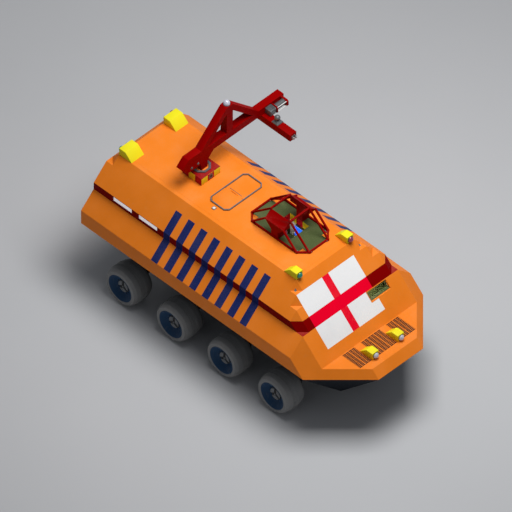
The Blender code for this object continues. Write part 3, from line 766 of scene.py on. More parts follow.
@dataclass(frozen=True)
class Screen(Finish):
    """A lit display with faint rows and a chart grid."""

    glow: float = 0.9

    def dress(self, graph: Graph, shader: bpy.types.Node) -> None:
        """Draws fine rows and a coarse grid in light.

        Args:
            graph: the material's tree.
            shader: its Principled BSDF.
        """
        place = graph.add("ShaderNodeTexCoord").outputs["Object"]
        x, _, z = graph.add("ShaderNodeSeparateXYZ", {0: place}).outputs
        lines = []
        for value, pitch in ((x, 0.06), (z, 0.06), (z, 0.004)):
            step = graph.math("FRACT", graph.math("DIVIDE", value, pitch))
            lines.append(graph.math("LESS_THAN", step, 0.08 if pitch > 0.01 else 0.3))
        grid = graph.math("MAXIMUM", lines[0], lines[1])
        colour = graph.blend(graph.math("MULTIPLY", lines[2], 0.2), self.colour, srgb(0, 60, 190))
        colour = graph.blend(graph.math("MULTIPLY", grid, 0.35), colour, srgb(120, 190, 255))
        graph.put(shader.inputs["Base Color"], colour)
        graph.put(shader.inputs["Emission Color"], colour)
        shader.inputs["Emission Strength"].default_value = self.glow
        shader.inputs["Roughness"].default_value = self.gloss


@dataclass(frozen=True)
class Floor(Finish):
    """The studio's pale floor."""

    def dress(self, graph: Graph, shader: bpy.types.Node) -> None:
        """Gives the floor a faint cloudiness.

        Args:
            graph: the material's tree.
            shader: its Principled BSDF.
        """
        place = graph.add("ShaderNodeTexCoord").outputs["Object"]
        darker = tuple(c * 0.97 for c in self.colour)
        graph.put(shader.inputs["Base Color"], graph.blend(graph.noise(place, 0.4), self.colour, darker))
        shader.inputs["Roughness"].default_value = self.gloss


ORANGE = srgb(252, 136, 34)
ORANGE_UPPER = HullPaint("hull_orange_upper", "orange_paint", ORANGE)
ORANGE_LOWER = HullPaint("hull_orange_lower", "orange_paint", ORANGE, outer_sum=11.3, inner=(11.25, 9.2, 3.98),
                         corner_sum=44.0)
BELT_RED = HullPaint("hull_belt_red", "red_paint", srgb(136, 0, 0), outer_sum=7.4, inner=(99.0, 7.15, 9.0),
                     row_is_red=True, dust=0.0, wear=0.1, shine=0.03)
ROOF_ORANGE = Paint("roof_orange", "orange_paint", ORANGE)
DARK_RED = Paint("dark_red_paint", "red_paint", srgb(146, 0, 0), wear=0.1, dust=0.0, shine=0.03)
BLACK = Paint("underbody_black", "black_paint", srgb(24, 30, 38), gloss=0.6, dust=0.1, wear=0.15)
GREEN = Paint("cabin_green", "green_floor", srgb(77, 90, 50), gloss=0.7, dust=0.2)
YELLOW = Paint("lamp_yellow", "yellow_paint", srgb(248, 236, 34), wear=0.45, dust=0.03)
PLINTH = SquaresPaint("plinth_squares", "yellow_paint", srgb(235, 218, 36), second=srgb(176, 0, 34), dust=0.04)
# The well's undercoat is also the darker green of its walls below the roof slab: painted shade.
WELL = SquaresPaint("well_squares", "green_floor", srgb(235, 218, 36), second=srgb(190, 0, 36), well=True,
                    deck=srgb(77, 90, 50), undercoat=srgb(58, 68, 42), gloss=0.65, wear=0.1)
RIM_BLUE = Paint("rim_blue", "rim_paint", srgb(36, 66, 98), gloss=0.4, wear=0.4, edge_radius=0.004)
WHITE = Paint("white_enamel", "white_lamp", srgb(235, 235, 232), gloss=0.35, wear=0.2, dust=0.05, edge_radius=0.003)
GREY = Metal("grey_steel", "grey_metal", srgb(112, 114, 116), gloss=0.42, metallic=0.35)
STEEL = Metal("bright_steel", "grey_metal", srgb(176, 178, 180), gloss=0.3)
DARK_STEEL = Metal("dark_steel", "grey_metal", srgb(52, 54, 58), gloss=0.5, metallic=0.6)
HUB_GREY = Metal("hub_grey", "grey_metal", srgb(124, 126, 128), gloss=0.4, metallic=0.3)
RUBBER = Moulded("tyre_rubber", "tyre", srgb(134, 134, 134), gloss=0.82, bloom=srgb(150, 147, 142))
# Black for the sheets under the bow grilles: painted shade seen through the slots.
GRILLE_SHADE_BLACK = Moulded("grille_shade_black", "black_paint", srgb(10, 13, 18), gloss=0.9, grain=240.0, amount=0.05)
SEAL = Moulded("black_seal", "tyre", srgb(34, 34, 36), gloss=0.7, grain=300.0)
PLASTIC = Moulded("grey_plastic", "grey_metal", srgb(150, 150, 150), gloss=0.5, grain=420.0, depth=0.0003)
BLACK_PLASTIC = Moulded("black_plastic", "black_paint", srgb(38, 38, 42), gloss=0.5, grain=420.0, depth=0.0003)
SEAT_CLOTH = Woven("seat_cloth", "seat", srgb(176, 0, 34), gloss=0.8)
PIPING = Moulded("seat_piping", "seat", srgb(40, 34, 34), gloss=0.6, grain=500.0, depth=0.0002)
WHITE_LENS = Lens("white_lens", "white_lamp", srgb(236, 236, 252), gloss=0.12, clear=0.1, glow=0.12)
GREEN_LENS = Lens("green_lens", "white_lamp", srgb(40, 140, 118), gloss=0.12, clear=0.1, glow=0.3)
RED_LENS = Lens("red_lens", "white_lamp", srgb(150, 66, 96), gloss=0.12, clear=0.1, glow=0.3)
STRIP_LENS = Lens("strip_lens", "white_lamp", srgb(244, 244, 248), gloss=0.15, clear=0.0, glow=0.55)
CABIN_LIGHT = Lens("cabin_light", "white_lamp", srgb(255, 246, 226), gloss=0.3, clear=0.0, glow=17.0)
CAMERA_GLASS = Lens("camera_glass", "grey_metal", srgb(16, 20, 30), gloss=0.06, clear=0.0)
SCREEN_BLUE = Screen("screen_blue", "black_paint", srgb(0, 100, 255), gloss=0.25)
FLOOR_GREY = Floor("studio_floor", "", srgb(205, 206, 208), gloss=0.9)


def make_piece(name: str, mesh: bpy.types.Mesh, look: Finish, body: str, stands_for: Sequence[str] = (),
               round_by: float = 0.0, crease: float = SMOOTH_ANGLE) -> bpy.types.Object:
    """Turns a mesh into a piece of the vehicle.

    Args:
        name: the piece's name.
        mesh: its mesh, already in place.
        look: its finish.
        body: the body that it rides on.
        stands_for: the CAD nodes that it replaces.
        round_by: width of a bevel on its sharp edges, in metres.
        crease: the angle in radians from which an edge is sharp.

    Returns:
        The piece.
    """
    mesh.name = name
    mesh.materials.clear()
    mesh.materials.append(look.material())
    mesh.shade_smooth()
    mesh.set_sharp_from_angle(angle=crease)
    piece = bpy.data.objects.new(name, mesh)
    bpy.context.scene.collection.objects.link(piece)
    if round_by > 0:
        bevel = piece.modifiers.new("rounded_edges", "BEVEL")
        bevel.width = round_by
        bevel.segments = 2
        bevel.limit_method = "ANGLE"
        bevel.angle_limit = SMOOTH_ANGLE
        bevel.harden_normals = True
    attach(piece, body)
    if stands_for:
        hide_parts(*stands_for)
    log.info("piece %s: %d faces on %s", name, len(mesh.polygons), body)
    return piece


def dress_node(node: str, look: Finish) -> None:
    """Gives a CAD node that stays a finish."""
    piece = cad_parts[node]
    piece.data.materials.clear()
    piece.data.materials.append(look.material())
    log.info("node %s: %s", node, look.name)


class Repeats:
    """The geometry trees for whatever repeats on the vehicle."""

    def __init__(self) -> None:
        """Builds every tree."""
        self.circle = self._fasteners(Layout.CIRCLE)
        self.points = self._fasteners(Layout.POINTS)
        self.blocks = self._blocks()
        self.lugs = self._lugs()
        self.plate = self._plate()

    @staticmethod
    def _close(graph: Graph, result: Any, material: Any, end: bpy.types.Node) -> bpy.types.NodeTree:
        """Realizes the instances and sets their material."""
        real = graph.add("GeometryNodeRealizeInstances", {"Geometry": result}).outputs[0]
        painted = graph.add("GeometryNodeSetMaterial", {"Geometry": real, "Material": material})
        graph.put(end.inputs[0], painted.outputs[0])
        return graph.tree

    def _fasteners(self, layout: Layout) -> bpy.types.NodeTree:
        """Hexagon heads on washers, in a circle or on the vertices of the base mesh.

        Args:
            layout: where the heads go.

        Returns:
            The tree.
        """
        inputs = {"Geometry": "geometry", "Count": "int", "Circle Radius": "float", "Head Radius": "float",
                  "Head Height": "float", "Material": "material"}
        graph, given, end = new_tree(f"fasteners_{layout.value}", "GeometryNodeTree", inputs, {"Geometry": "geometry"})
        spots = given["Geometry"]
        if layout is Layout.CIRCLE:
            spots = graph.add("GeometryNodeMeshCircle", {"Vertices": given["Count"], "Radius": given["Circle Radius"]}).outputs[0]
        parts = []
        for sides, wide, tall, share in ((6, 1.0, 1.0, 0.9), (14, 1.5, 0.3, 0.95)):
            radius = graph.math("MULTIPLY", given["Head Radius"], wide)
            height = graph.math("MULTIPLY", given["Head Height"], tall)
            shape = graph.add("GeometryNodeMeshCone", {"Vertices": sides, "Radius Top": graph.math("MULTIPLY", radius, share),
                                                       "Radius Bottom": radius, "Depth": height})
            parts.append(shape.outputs["Mesh"])
        head = graph.add("GeometryNodeJoinGeometry")
        for part in reversed(parts):
            graph.put(head.inputs[0], part)
        set_out = graph.add("GeometryNodeInstanceOnPoints", {"Points": spots, "Instance": head.outputs[0]})
        return self._close(graph, set_out.outputs[0], given["Material"], end)

    def _blocks(self) -> bpy.types.NodeTree:
        """Equal blocks at equal steps along a line."""
        inputs = {"Geometry": "geometry", "Count": "int", "Step": "vector", "Size": "vector", "Material": "material"}
        graph, given, end = new_tree("block_row", "GeometryNodeTree", inputs, {"Geometry": "geometry"})
        line = graph.add("GeometryNodeMeshLine", {"Count": given["Count"], "Offset": given["Step"]}).outputs[0]
        cube = graph.add("GeometryNodeMeshCube", {"Size": given["Size"]}).outputs[0]
        row = graph.add("GeometryNodeInstanceOnPoints", {"Points": line, "Instance": cube}).outputs[0]
        return self._close(graph, row, given["Material"], end)

    def _lugs(self) -> bpy.types.NodeTree:
        """Tread lugs round a circle, each turned to lean the same way."""
        inputs = {"Geometry": "geometry", "Count": "int", "Circle Radius": "float", "Size": "vector", "Lean": "float",
                  "Height": "float", "Material": "material"}
        graph, given, end = new_tree("tread_lugs", "GeometryNodeTree", inputs, {"Geometry": "geometry"})
        ring = graph.add("GeometryNodeMeshCircle", {"Vertices": given["Count"], "Radius": given["Circle Radius"]})
        turn = graph.math("DIVIDE", graph.math("MULTIPLY", graph.add("GeometryNodeInputIndex").outputs[0], math.tau),
                          given["Count"])
        facing = graph.add("ShaderNodeCombineXYZ", {0: given["Lean"], 2: turn}).outputs[0]
        cube = graph.add("GeometryNodeMeshCube", {"Size": given["Size"]}).outputs[0]
        lugs = graph.add("GeometryNodeInstanceOnPoints", {"Points": ring.outputs[0], "Instance": cube, "Rotation": facing})
        lift = graph.add("ShaderNodeCombineXYZ", {2: given["Height"]}).outputs[0]
        moved = graph.add("GeometryNodeTransform", {"Geometry": lugs.outputs[0], "Translation": lift}).outputs[0]
        return self._close(graph, moved, given["Material"], end)

    def _plate(self) -> bpy.types.NodeTree:
        """A perforated plate: the base mesh is one pierced cell, repeated and given its thickness."""
        inputs = {"Geometry": "geometry", "Cell X": "float", "Cell Y": "float", "Columns": "int", "Rows": "int",
                  "Thickness": "float", "Material": "material"}
        graph, given, end = new_tree("pierced_plate", "GeometryNodeTree", inputs, {"Geometry": "geometry"})
        spans = []
        for count, cell in (("Columns", "Cell X"), ("Rows", "Cell Y")):
            spans.append(graph.math("MULTIPLY", graph.math("SUBTRACT", given[count], 1.0), given[cell]))
        net = graph.add("GeometryNodeMeshGrid", {"Size X": spans[0], "Size Y": spans[1], "Vertices X": given["Columns"],
                                                 "Vertices Y": given["Rows"]}).outputs[0]
        cells = graph.add("GeometryNodeInstanceOnPoints", {"Points": net, "Instance": given["Geometry"]}).outputs[0]
        real = graph.add("GeometryNodeRealizeInstances", {"Geometry": cells}).outputs[0]
        sheet = graph.add("GeometryNodeMergeByDistance", {"Geometry": real, "Distance": 1e-5}).outputs[0]
        drop = graph.add("ShaderNodeCombineXYZ", {2: graph.math("MULTIPLY", given["Thickness"], -1.0)}).outputs[0]
        drawn = graph.add("GeometryNodeExtrudeMesh", {"Mesh": sheet, "Offset": drop, "Offset Scale": 1.0, "Individual": False})
        both = graph.add("GeometryNodeJoinGeometry")
        for part in (drawn.outputs[0], sheet):
            graph.put(both.inputs[0], part)
        whole = graph.add("GeometryNodeMergeByDistance", {"Geometry": both.outputs[0], "Distance": 1e-5}).outputs[0]
        return self._close(graph, whole, given["Material"], end)

    @staticmethod
    def run(tree: bpy.types.NodeTree, look: Finish, base: bpy.types.Mesh | None = None, **values: Any) -> bpy.types.Mesh:
        """Evaluates a tree into a plain mesh.

        Args:
            tree: the geometry tree.
            look: the finish of what it makes.
            base: the mesh that it starts from, if any.
            values: its inputs, with _ for each space in a name.

        Returns:
            The new mesh.
        """
        holder = bpy.data.objects.new("holder", base or bpy.data.meshes.new("holder"))
        bpy.context.scene.collection.objects.link(holder)
        modifier = holder.modifiers.new("repeat", "NODES")
        modifier.node_group = tree
        named = {name.replace("_", " "): value for name, value in values.items()}
        named["Material"] = look.material()
        for item in tree.interface.items_tree:
            if item.item_type == "SOCKET" and item.in_out == "INPUT" and item.name in named:
                modifier[item.identifier] = named[item.name]
        graph = bpy.context.evaluated_depsgraph_get()
        mesh = bpy.data.meshes.new_from_object(holder.evaluated_get(graph), depsgraph=graph)
        holder.modifiers.clear()
        bpy.data.objects.remove(holder)
        return mesh

    def bolts(self, look: Finish, count: int, circle: float, head: float, height: float,
              placement: Matrix) -> bpy.types.Mesh:
        """A circle of bolt heads.

        Args:
            look: the finish of the heads.
            count: how many heads.
            circle: radius of the circle in metres.
            head: radius of a head.
            height: how far a head stands up, and as far down.
            placement: where the circle goes; its heads point to +Z before that.

        Returns:
            The heads' mesh.
        """
        mesh = self.run(self.circle, look, Count=count, Circle_Radius=circle, Head_Radius=head, Head_Height=height)
        return placed(mesh, placement)

    def bolts_at(self, look: Finish, spots: Sequence[Vector], axis: Axis, head: float, height: float) -> bpy.types.Mesh:
        """Bolt heads at given points, all pointing along one axis.

        Args:
            look: the finish of the heads.
            spots: the points in metres.
            axis: the way the heads point.
            head: radius of a head.
            height: how far a head stands up, and as far down.

        Returns:
            The heads' mesh.
        """
        turn = towards(axis, Vector((0, 0, 0)))
        base = bpy.data.meshes.new("spots")
        base.from_pydata([turn.inverted() @ spot for spot in spots], [], [])
        mesh = self.run(self.points, look, base, Head_Radius=head, Head_Height=height)
        return placed(mesh, turn)

    def row(self, look: Finish, count: int, start: Vector, step: Vector, size: Vector) -> bpy.types.Mesh:
        """A row of equal blocks.

        Args:
            look: the finish of the blocks.
            count: how many blocks.
            start: middle of the first one in metres.
            step: from one to the next.
            size: the size of a block.

        Returns:
            The row's mesh.
        """
        mesh = self.run(self.blocks, look, Count=count, Step=tuple(step), Size=tuple(size))
        return placed(mesh, Matrix.Translation(start))


REPEATS = Repeats()


@dataclass
class Hull:
    """The hull's CAD shells, which stay, with their paint and the light strips in the belt."""

    strip_starts: tuple[float, ...] = (3.0, 7.0)
    strip_length: float = 3.0
    segments: int = 15
    seam_radius: float = 0.003
    cabin_lamps: tuple[Triple, ...] = ((31.9, 4.0, 4.03), (29.4, 4.0, 6.6), (5.0, 0.0, 7.55), (10.5, 0.0, 7.55))

    def paint(self) -> None:
        """Gives each shell its paint."""
        looks = {"upper_hull": ORANGE_UPPER, "lower_hull": ORANGE_LOWER, "belt": BELT_RED, "roof_deck": ROOF_ORANGE,
                 "keel_hull": BLACK, "cabin_floor": GREEN}
        for node, look in looks.items():
            dress_node(node, look)

    def light_strips(self) -> None:
        """Segmented white lights in the recesses of the belt, on a dark backing."""
        for name, side in SIDES.items():
            for number, start in enumerate(self.strip_starts, 1):
                pitch = self.strip_length / self.segments
                first = at(start + pitch / 2, side * 7.31, 4.55)
                size = Vector((pitch * 0.8, 0.16, 0.62)) * MODULE
                row = REPEATS.row(STRIP_LENS, self.segments, first, Vector((pitch * MODULE, 0, 0)), size)
                make_piece(f"light_strip_{number}_{name}", row, STRIP_LENS, "hull", round_by=0.004)
                back = block(at(start + 0.02, side * 7.235, 4.12), at(start + 2.98, side * 7.26, 4.94), 0.002)
                make_piece(f"light_backing_{number}_{name}", back, DARK_STEEL, "hull")

    def roof_seam(self) -> None:
        """The sealed seam round the roof plate."""
        corners = [at(1.5, -4.0, 8.0), at(28.5, -4.0, 8.0), at(28.5, 4.0, 8.0), at(1.5, 4.0, 8.0)]
        beads = [tube([corner, corners[(i + 1) % 4]], self.seam_radius, 8) for i, corner in enumerate(corners)]
        make_piece("roof_seam", merged(beads), ROOF_ORANGE, "hull")

    def cabin_lights(self) -> None:
        """Flat lamps under the cabin's roof."""
        lamps = [block(at(x - 0.6, y - 0.5, z - 0.1), at(x + 0.6, y + 0.5, z), 0.006) for x, y, z in self.cabin_lamps]
        make_piece("cabin_lights", merged(lamps), CABIN_LIGHT, "hull")

    def slot_mat(self) -> None:
        """The green mat on the inner part of the bow slot's sill."""
        mat = block(at(33.3, 2.52, 3.082), at(33.77, 5.48, 3.12), 0.002)
        make_piece("slot_mat", mat, GREEN, "hull")

    def build(self) -> None:
        """Builds and dresses the hull."""
        self.paint()
        self.slot_mat()
        self.light_strips()
        self.roof_seam()
        self.cabin_lights()


@dataclass
class BowGrilles:
    """Three pierced plates in the bow deck, each over a black sheet of painted shade that darkens its slots."""

    plates: tuple[tuple[str, float, float, int], ...] = (
        ("starboard", -4.4, -2.5, 2), ("middle", -1.5, 1.5, 3), ("port", 2.5, 4.4, 2))
    x_range: Pair = (36.1, 38.95)
    thickness: float = 0.004
    rows: int = 5

    def cell(self, size_x: float, size_y: float) -> bpy.types.Mesh:
        """One square of the plate with its slots left out.

        Args:
            size_x: length of the square in metres.
            size_y: its width.

        Returns:
            A flat mesh centred on the origin.
        """
        pitch = 1.0 / self.rows
        xs = [0.0]
        for row in range(self.rows):
            xs += [pitch * (row + 0.13), pitch * (row + 0.87)]
        xs.append(1.0)
        ys = [0.0, 0.05, 0.475, 0.525, 0.95, 1.0]
        shape = bmesh.new()
        net = [[shape.verts.new(((x - 0.5) * size_x, (y - 0.5) * size_y, 0)) for y in ys] for x in xs]
        for i in range(len(xs) - 1):
            for j in range(len(ys) - 1):
                if not (i % 2 and j % 2):
                    shape.faces.new((net[i][j], net[i + 1][j], net[i + 1][j + 1], net[i][j + 1]))
        mesh = bpy.data.meshes.new("cell")
        shape.to_mesh(mesh)
        shape.free()
        return mesh

    def build(self) -> None:
        """Builds the plates and the black sheets of painted shade under them."""
        low_x, high_x = (self.x_range[0] + 0.02, self.x_range[1] - 0.02)
        for name, low, high, rows in self.plates:
            low_y, high_y = low + 0.02, high - 0.02
            size_x, size_y = (high_x - low_x) / 3 * MODULE, (high_y - low_y) / rows * MODULE
            plate = REPEATS.run(REPEATS.plate, ROOF_ORANGE, self.cell(size_x, size_y), Cell_X=size_x, Cell_Y=size_y,
                                Columns=3, Rows=rows, Thickness=self.thickness)
            placed(plate, Matrix.Translation(at((low_x + high_x) / 2, (low_y + high_y) / 2, 1.0)))
            shape = bmesh.new()
            shape.from_mesh(plate)
            plate = to_mesh(shape, "plate")
            make_piece(f"grille_plate_{name}", plate, ROOF_ORANGE, "hull", [f"bow_grille_{name}"])
            # A black sheet under the plate: painted shade that makes its slots look dark.
            shade_sheet = block(at(low_x, low_y, 0.86), at(high_x, high_y, 0.98), 0.002)
            make_piece(f"grille_shade_sheet_{name}", shade_sheet, GRILLE_SHADE_BLACK, "hull")


@dataclass(frozen=True)
class LampKind:
    """One kind of lamp wedge: its outline, its width and its lenses on the starboard side."""

    node: str
    outline: tuple[Pair, ...]
    across: Pair
    face_x: float
    lens_z: float
    radius: float
    lenses: tuple[tuple[float, str], ...]


@dataclass
class Lamps:
    """The yellow lamp wedges with round lenses."""

    kinds: tuple[LampKind, ...] = (
        LampKind("stern_lamp", ((1.0, 8.0), (3.0, 8.0), (2.0, 9.0), (1.0, 9.0)), (-4.5, -2.5), 1.0, 8.5, 0.38,
                 ((-4.0, "side"), (-3.0, "white"))),
        LampKind("roof_lamp", ((27.0, 8.0), (29.0, 8.0), (29.0, 8.9), (28.0, 8.9)), (-4.5, -3.5), 29.0, 8.43, 0.36,
                 ((-4.0, "side"),)),
        LampKind("bow_lamp", ((37.0, 1.0), (39.0, 1.0), (39.0, 1.9), (38.0, 1.9)), (-2.5, -1.5), 39.0, 1.43, 0.36,
                 ((-2.0, "white"),)),
    )
    lens_sides: int = 32

    def lens(self, radius: float) -> bpy.types.Mesh:
        """A domed lens that bulges to +Z, with a closed flat back.

        Args:
            radius: the lens's radius in metres.

        Returns:
            The lens's mesh.
        """
        steps = 9
        arc = [(radius * math.sin(math.pi / 2 * i / steps), radius * math.cos(math.pi / 2 * i / steps))
               for i in range(steps)]
        return lathe([(-0.012, 0.0), (-0.012, radius)] + arc + [(radius, 0.0)], self.lens_sides)

    def bezel(self, radius: float) -> bpy.types.Mesh:
        """The ring that holds a lens."""
        outer, inner = radius * 1.1, radius * 0.99
        ring = [(-0.004, inner), (-0.004, outer), (0.006, outer), (0.011, outer - 0.005), (0.011, inner)]
        return lathe(ring, self.lens_sides, closed=True)

    def build(self) -> None:
        """Builds each lamp on both sides."""
        colours = {("side", "starboard"): GREEN_LENS, ("side", "port"): RED_LENS,
                   ("white", "starboard"): WHITE_LENS, ("white", "port"): WHITE_LENS}
        for kind in self.kinds:
            axis = Axis.X if kind.face_x > kind.outline[0][0] else Axis.AFT
            for name, side in SIDES.items():
                sign = -side
                low, high = sorted((sign * kind.across[0], sign * kind.across[1]))
                node = f"{kind.node}_{name}"
                lifted = [(x, z + 0.002) for x, z in kind.outline]
                shell = prism(lifted, Axis.Y, low, high, 0.008)
                make_piece(f"{node}_housing", shell, YELLOW, "hull", [node])
                centres = [at(kind.face_x, sign * y, kind.lens_z) for y, _ in kind.lenses]
                rings = [placed(self.bezel(kind.radius * MODULE), towards(axis, centre)) for centre in centres]
                make_piece(f"{node}_bezels", merged(rings), DARK_STEEL, "hull")
                for number, ((_, colour), centre) in enumerate(zip(kind.lenses, centres), 1):
                    glass = placed(self.lens(kind.radius * MODULE), towards(axis, centre))
                    make_piece(f"{node}_lens_{number}", glass, colours[colour, name], "hull")


@dataclass
class Hatch:
    """The sliding roof hatch with its rim and call button."""

    screw: float = 0.007

    def build(self) -> None:
        """Builds the hatch's cover, lip, handle and screws, and the call button with its mount."""
        dress_node("hatch_frame", HUB_GREY)
        panel = prism([(13.59, -2.36), (15.41, -2.36), (15.86, -1.91), (15.86, 0.03), (15.46, 0.43), (13.54, 0.43),
                       (13.14, 0.03), (13.14, -1.91)], Axis.Z, 8.002, 8.12, 0.004)
        make_piece("hatch_cover", panel, ROOF_ORANGE, "hatch", ["hatch_panel"])
        lip = prism([(13.54, 0.435), (15.46, 0.435), (15.41, 0.48), (13.59, 0.48)], Axis.Z, 8.002, 8.13, 0.001)
        make_piece("hatch_lip", lip, GREY, "hatch")
        points = [at(14.0, 0.2, 8.1), at(14.0, 0.2, 8.19), at(14.06, 0.2, 8.22), at(14.94, 0.2, 8.22),
                  at(15.0, 0.2, 8.19), at(15.0, 0.2, 8.1)]
        make_piece("hatch_grab", tube(points, 0.006), ROOF_ORANGE, "hatch")
        spots = [at(13.06, y, 8.17) for y in (-1.6, -0.4, 0.8, 2.0, 2.9)]
        spots += [at(15.94, y, 8.17) for y in (-1.6, -0.4, 0.8, 2.0, 2.9)]
        screws = REPEATS.bolts_at(STEEL, spots, Axis.Z, self.screw, 0.004)
        make_piece("hatch_screws", screws, STEEL, "hull")
        mount = block(at(14.27, -3.23, 8.002), at(14.73, -2.77, 8.06), 0.004)
        make_piece("call_button_mount", mount, GREY, "hull", ["hatch_button"])
        make_piece("call_button", block(at(14.34, -3.16, 8.05), at(14.66, -2.84, 8.1), 0.006), WHITE, "hull")


@dataclass
class Cockpit:
    """The cage, the green well, the console and the helm seat."""

    feet: tuple[Pair, ...] = ((18.0, -0.5), (19.0, -1.5), (26.0, -1.5), (27.0, -0.5),
                              (18.0, 2.5), (19.0, 3.5), (26.0, 3.5), (27.0, 2.5))
    pad_frames: int = 20
    pad_swell: float = 0.012

    def cage(self) -> None:
        """Paints the cage and bolts its feet down."""
        make_piece("canopy_cage", clean_copy("canopy_frame"), DARK_RED, "hull", ["canopy_frame"])
        plates, spots = [], []
        for x, y in self.feet:
            inward = 0.18 if y < 1.0 else -0.18
            plates.append(block(at(x - 0.2, y + inward - 0.2, 8.002), at(x + 0.2, y + inward + 0.2, 8.06), 0.003))
            spots += [at(x + a, y + inward + inward * 0.6, 8.06) for a in (-0.12, 0.12)]
        make_piece("canopy_feet", merged(plates), DARK_RED, "hull")
        make_piece("canopy_foot_bolts", REPEATS.bolts_at(STEEL, spots, Axis.Z, 0.011, 0.014), STEEL, "hull")

    def console(self) -> None:
        """The instrument unit with its screen, keys, lever and wheel."""
        dress_node("helm_console", BLACK_PLASTIC)
        surround = block(at(22.01, 2.2, 5.3), at(23.99, 2.26, 6.99), 0.004)
        make_piece("screen_surround", surround, PLASTIC, "hull")
        glass = block(at(22.04, 2.17, 5.5), at(23.96, 2.21, 6.97), 0.002)
        make_piece("chart_screen", glass, SCREEN_BLUE, "hull")
        keys = [REPEATS.row(PLASTIC, 8, at(22.3, 2.2, z), Vector((0.2 * MODULE, 0, 0)), Vector((0.03, 0.014, 0.016)))
                for z in (5.36, 5.44)]
        make_piece("console_keys", merged(keys), PLASTIC, "hull", round_by=0.002)
        wheel = []
        centre = at(23.5, 1.0, 5.72)
        ring = [centre + Vector((0.03 * math.sin(a), 0.13 * math.cos(a), 0.13 * math.sin(a)))
                for a in (math.tau * i / 36 for i in range(37))]
        wheel.append(tube(ring, 0.011, 10))
        for angle in (math.pi / 2, math.pi * 7 / 6, math.pi * 11 / 6):
            end = centre + Vector((0.03 * math.sin(angle), 0.13 * math.cos(angle), 0.13 * math.sin(angle)))
            wheel.append(tube([centre, end], 0.007, 8))
        wheel.append(tube([centre, at(23.72, 1.0, 5.66)], 0.018, 14))
        make_piece("helm_wheel", merged(wheel), BLACK_PLASTIC, "hull")
        lever = [at(23.8, 2.0, 5.8), at(23.78, 2.0, 6.0), at(23.7, 2.0, 6.2)]
        make_piece("throttle_lever", merged([tube(lever, 0.007, 10), placed(lathe(
            [(-0.022, 0.0), (-0.018, 0.014), (0.0, 0.02), (0.018, 0.014), (0.022, 0.0)], 16),
            Matrix.Translation(lever[-1]))]), DARK_STEEL, "hull")

    def cushion(self, name: str, low: Vector, high: Vector, stands_for: Sequence[str] = ()) -> bpy.types.Object:
        """A stuffed pad that swells between its seams.

        Args:
            name: the pad's name.
            low: one corner of the space that it fills, in metres.
            high: the opposite corner.
            stands_for: the CAD nodes that it replaces.

        Returns:
            The pad.
        """
        inset = Vector((self.pad_swell,) * 3)
        mesh = block(low + inset, high - inset, 0.022, 3)
        pad = bpy.data.objects.new("pad_blank", mesh)
        bpy.context.scene.collection.objects.link(pad)
        remesh = pad.modifiers.new("remesh", "REMESH")
        remesh.mode = "VOXEL"
        remesh.voxel_size = 0.011
        cloth = pad.modifiers.new("cloth", "CLOTH")
        cloth.settings.use_pressure = True
        cloth.settings.uniform_pressure_force = 4.0
        cloth.settings.effector_weights.gravity = 0.0
        for number in range(1, self.pad_frames + 1):
            bpy.context.scene.frame_set(number)
        graph = bpy.context.evaluated_depsgraph_get()
        result = bpy.data.meshes.new_from_object(pad.evaluated_get(graph), depsgraph=graph)
        bpy.data.objects.remove(pad)
        bpy.context.scene.frame_set(1)
        for vertex in result.vertices:
            vertex.co = Vector([min(max(c, lo), hi) for c, lo, hi in zip(vertex.co, low, high)])
        piece = make_piece(name, result, SEAT_CLOTH, "hull", stands_for)
        return piece

    def seat(self) -> None:
        """The padded helm seat on its pedestal."""
        self.cushion("seat_cushion", at(21.36, 0.24, 5.0), at(22.78, 1.76, 5.38), ["driver_seat"])
        self.cushion("seat_back", at(21.16, 0.3, 5.3), at(21.56, 1.7, 6.15))
        pedestal = lathe([(0.0, 0.0), (0.0, 0.13), (0.012, 0.13), (0.02, 0.05), (0.045, 0.05), (0.05, 0.0)], 32)
        make_piece("seat_pedestal", placed(pedestal, towards(Axis.Z, at(22.0, 1.0, 4.802))), DARK_STEEL, "hull")
        for name, z, x0, x1 in (("cushion", 5.19, 21.38, 22.76),):
            corners = [at(x0, 0.26, z), at(x1, 0.26, z), at(x1, 1.74, z), at(x0, 1.74, z)]
            loop = []
            for i, corner in enumerate(corners):
                following = corners[(i + 1) % 4]
                loop += [corner.lerp(following, t) for t in (0.06, 0.35, 0.65, 0.94)]
            make_piece(f"seat_piping_{name}", tube(loop + loop[:1], 0.004, 8), PIPING, "hull")

    def build(self) -> None:
        """Builds the cockpit."""
        dress_node("cockpit_tub", WELL)
        strip = block(at(21.3, -0.485, 6.5), at(23.7, -0.44, 6.75), 0.003)
        make_piece("well_light", strip, CABIN_LIGHT, "hull")
        self.cage()
        self.console()
        self.seat()


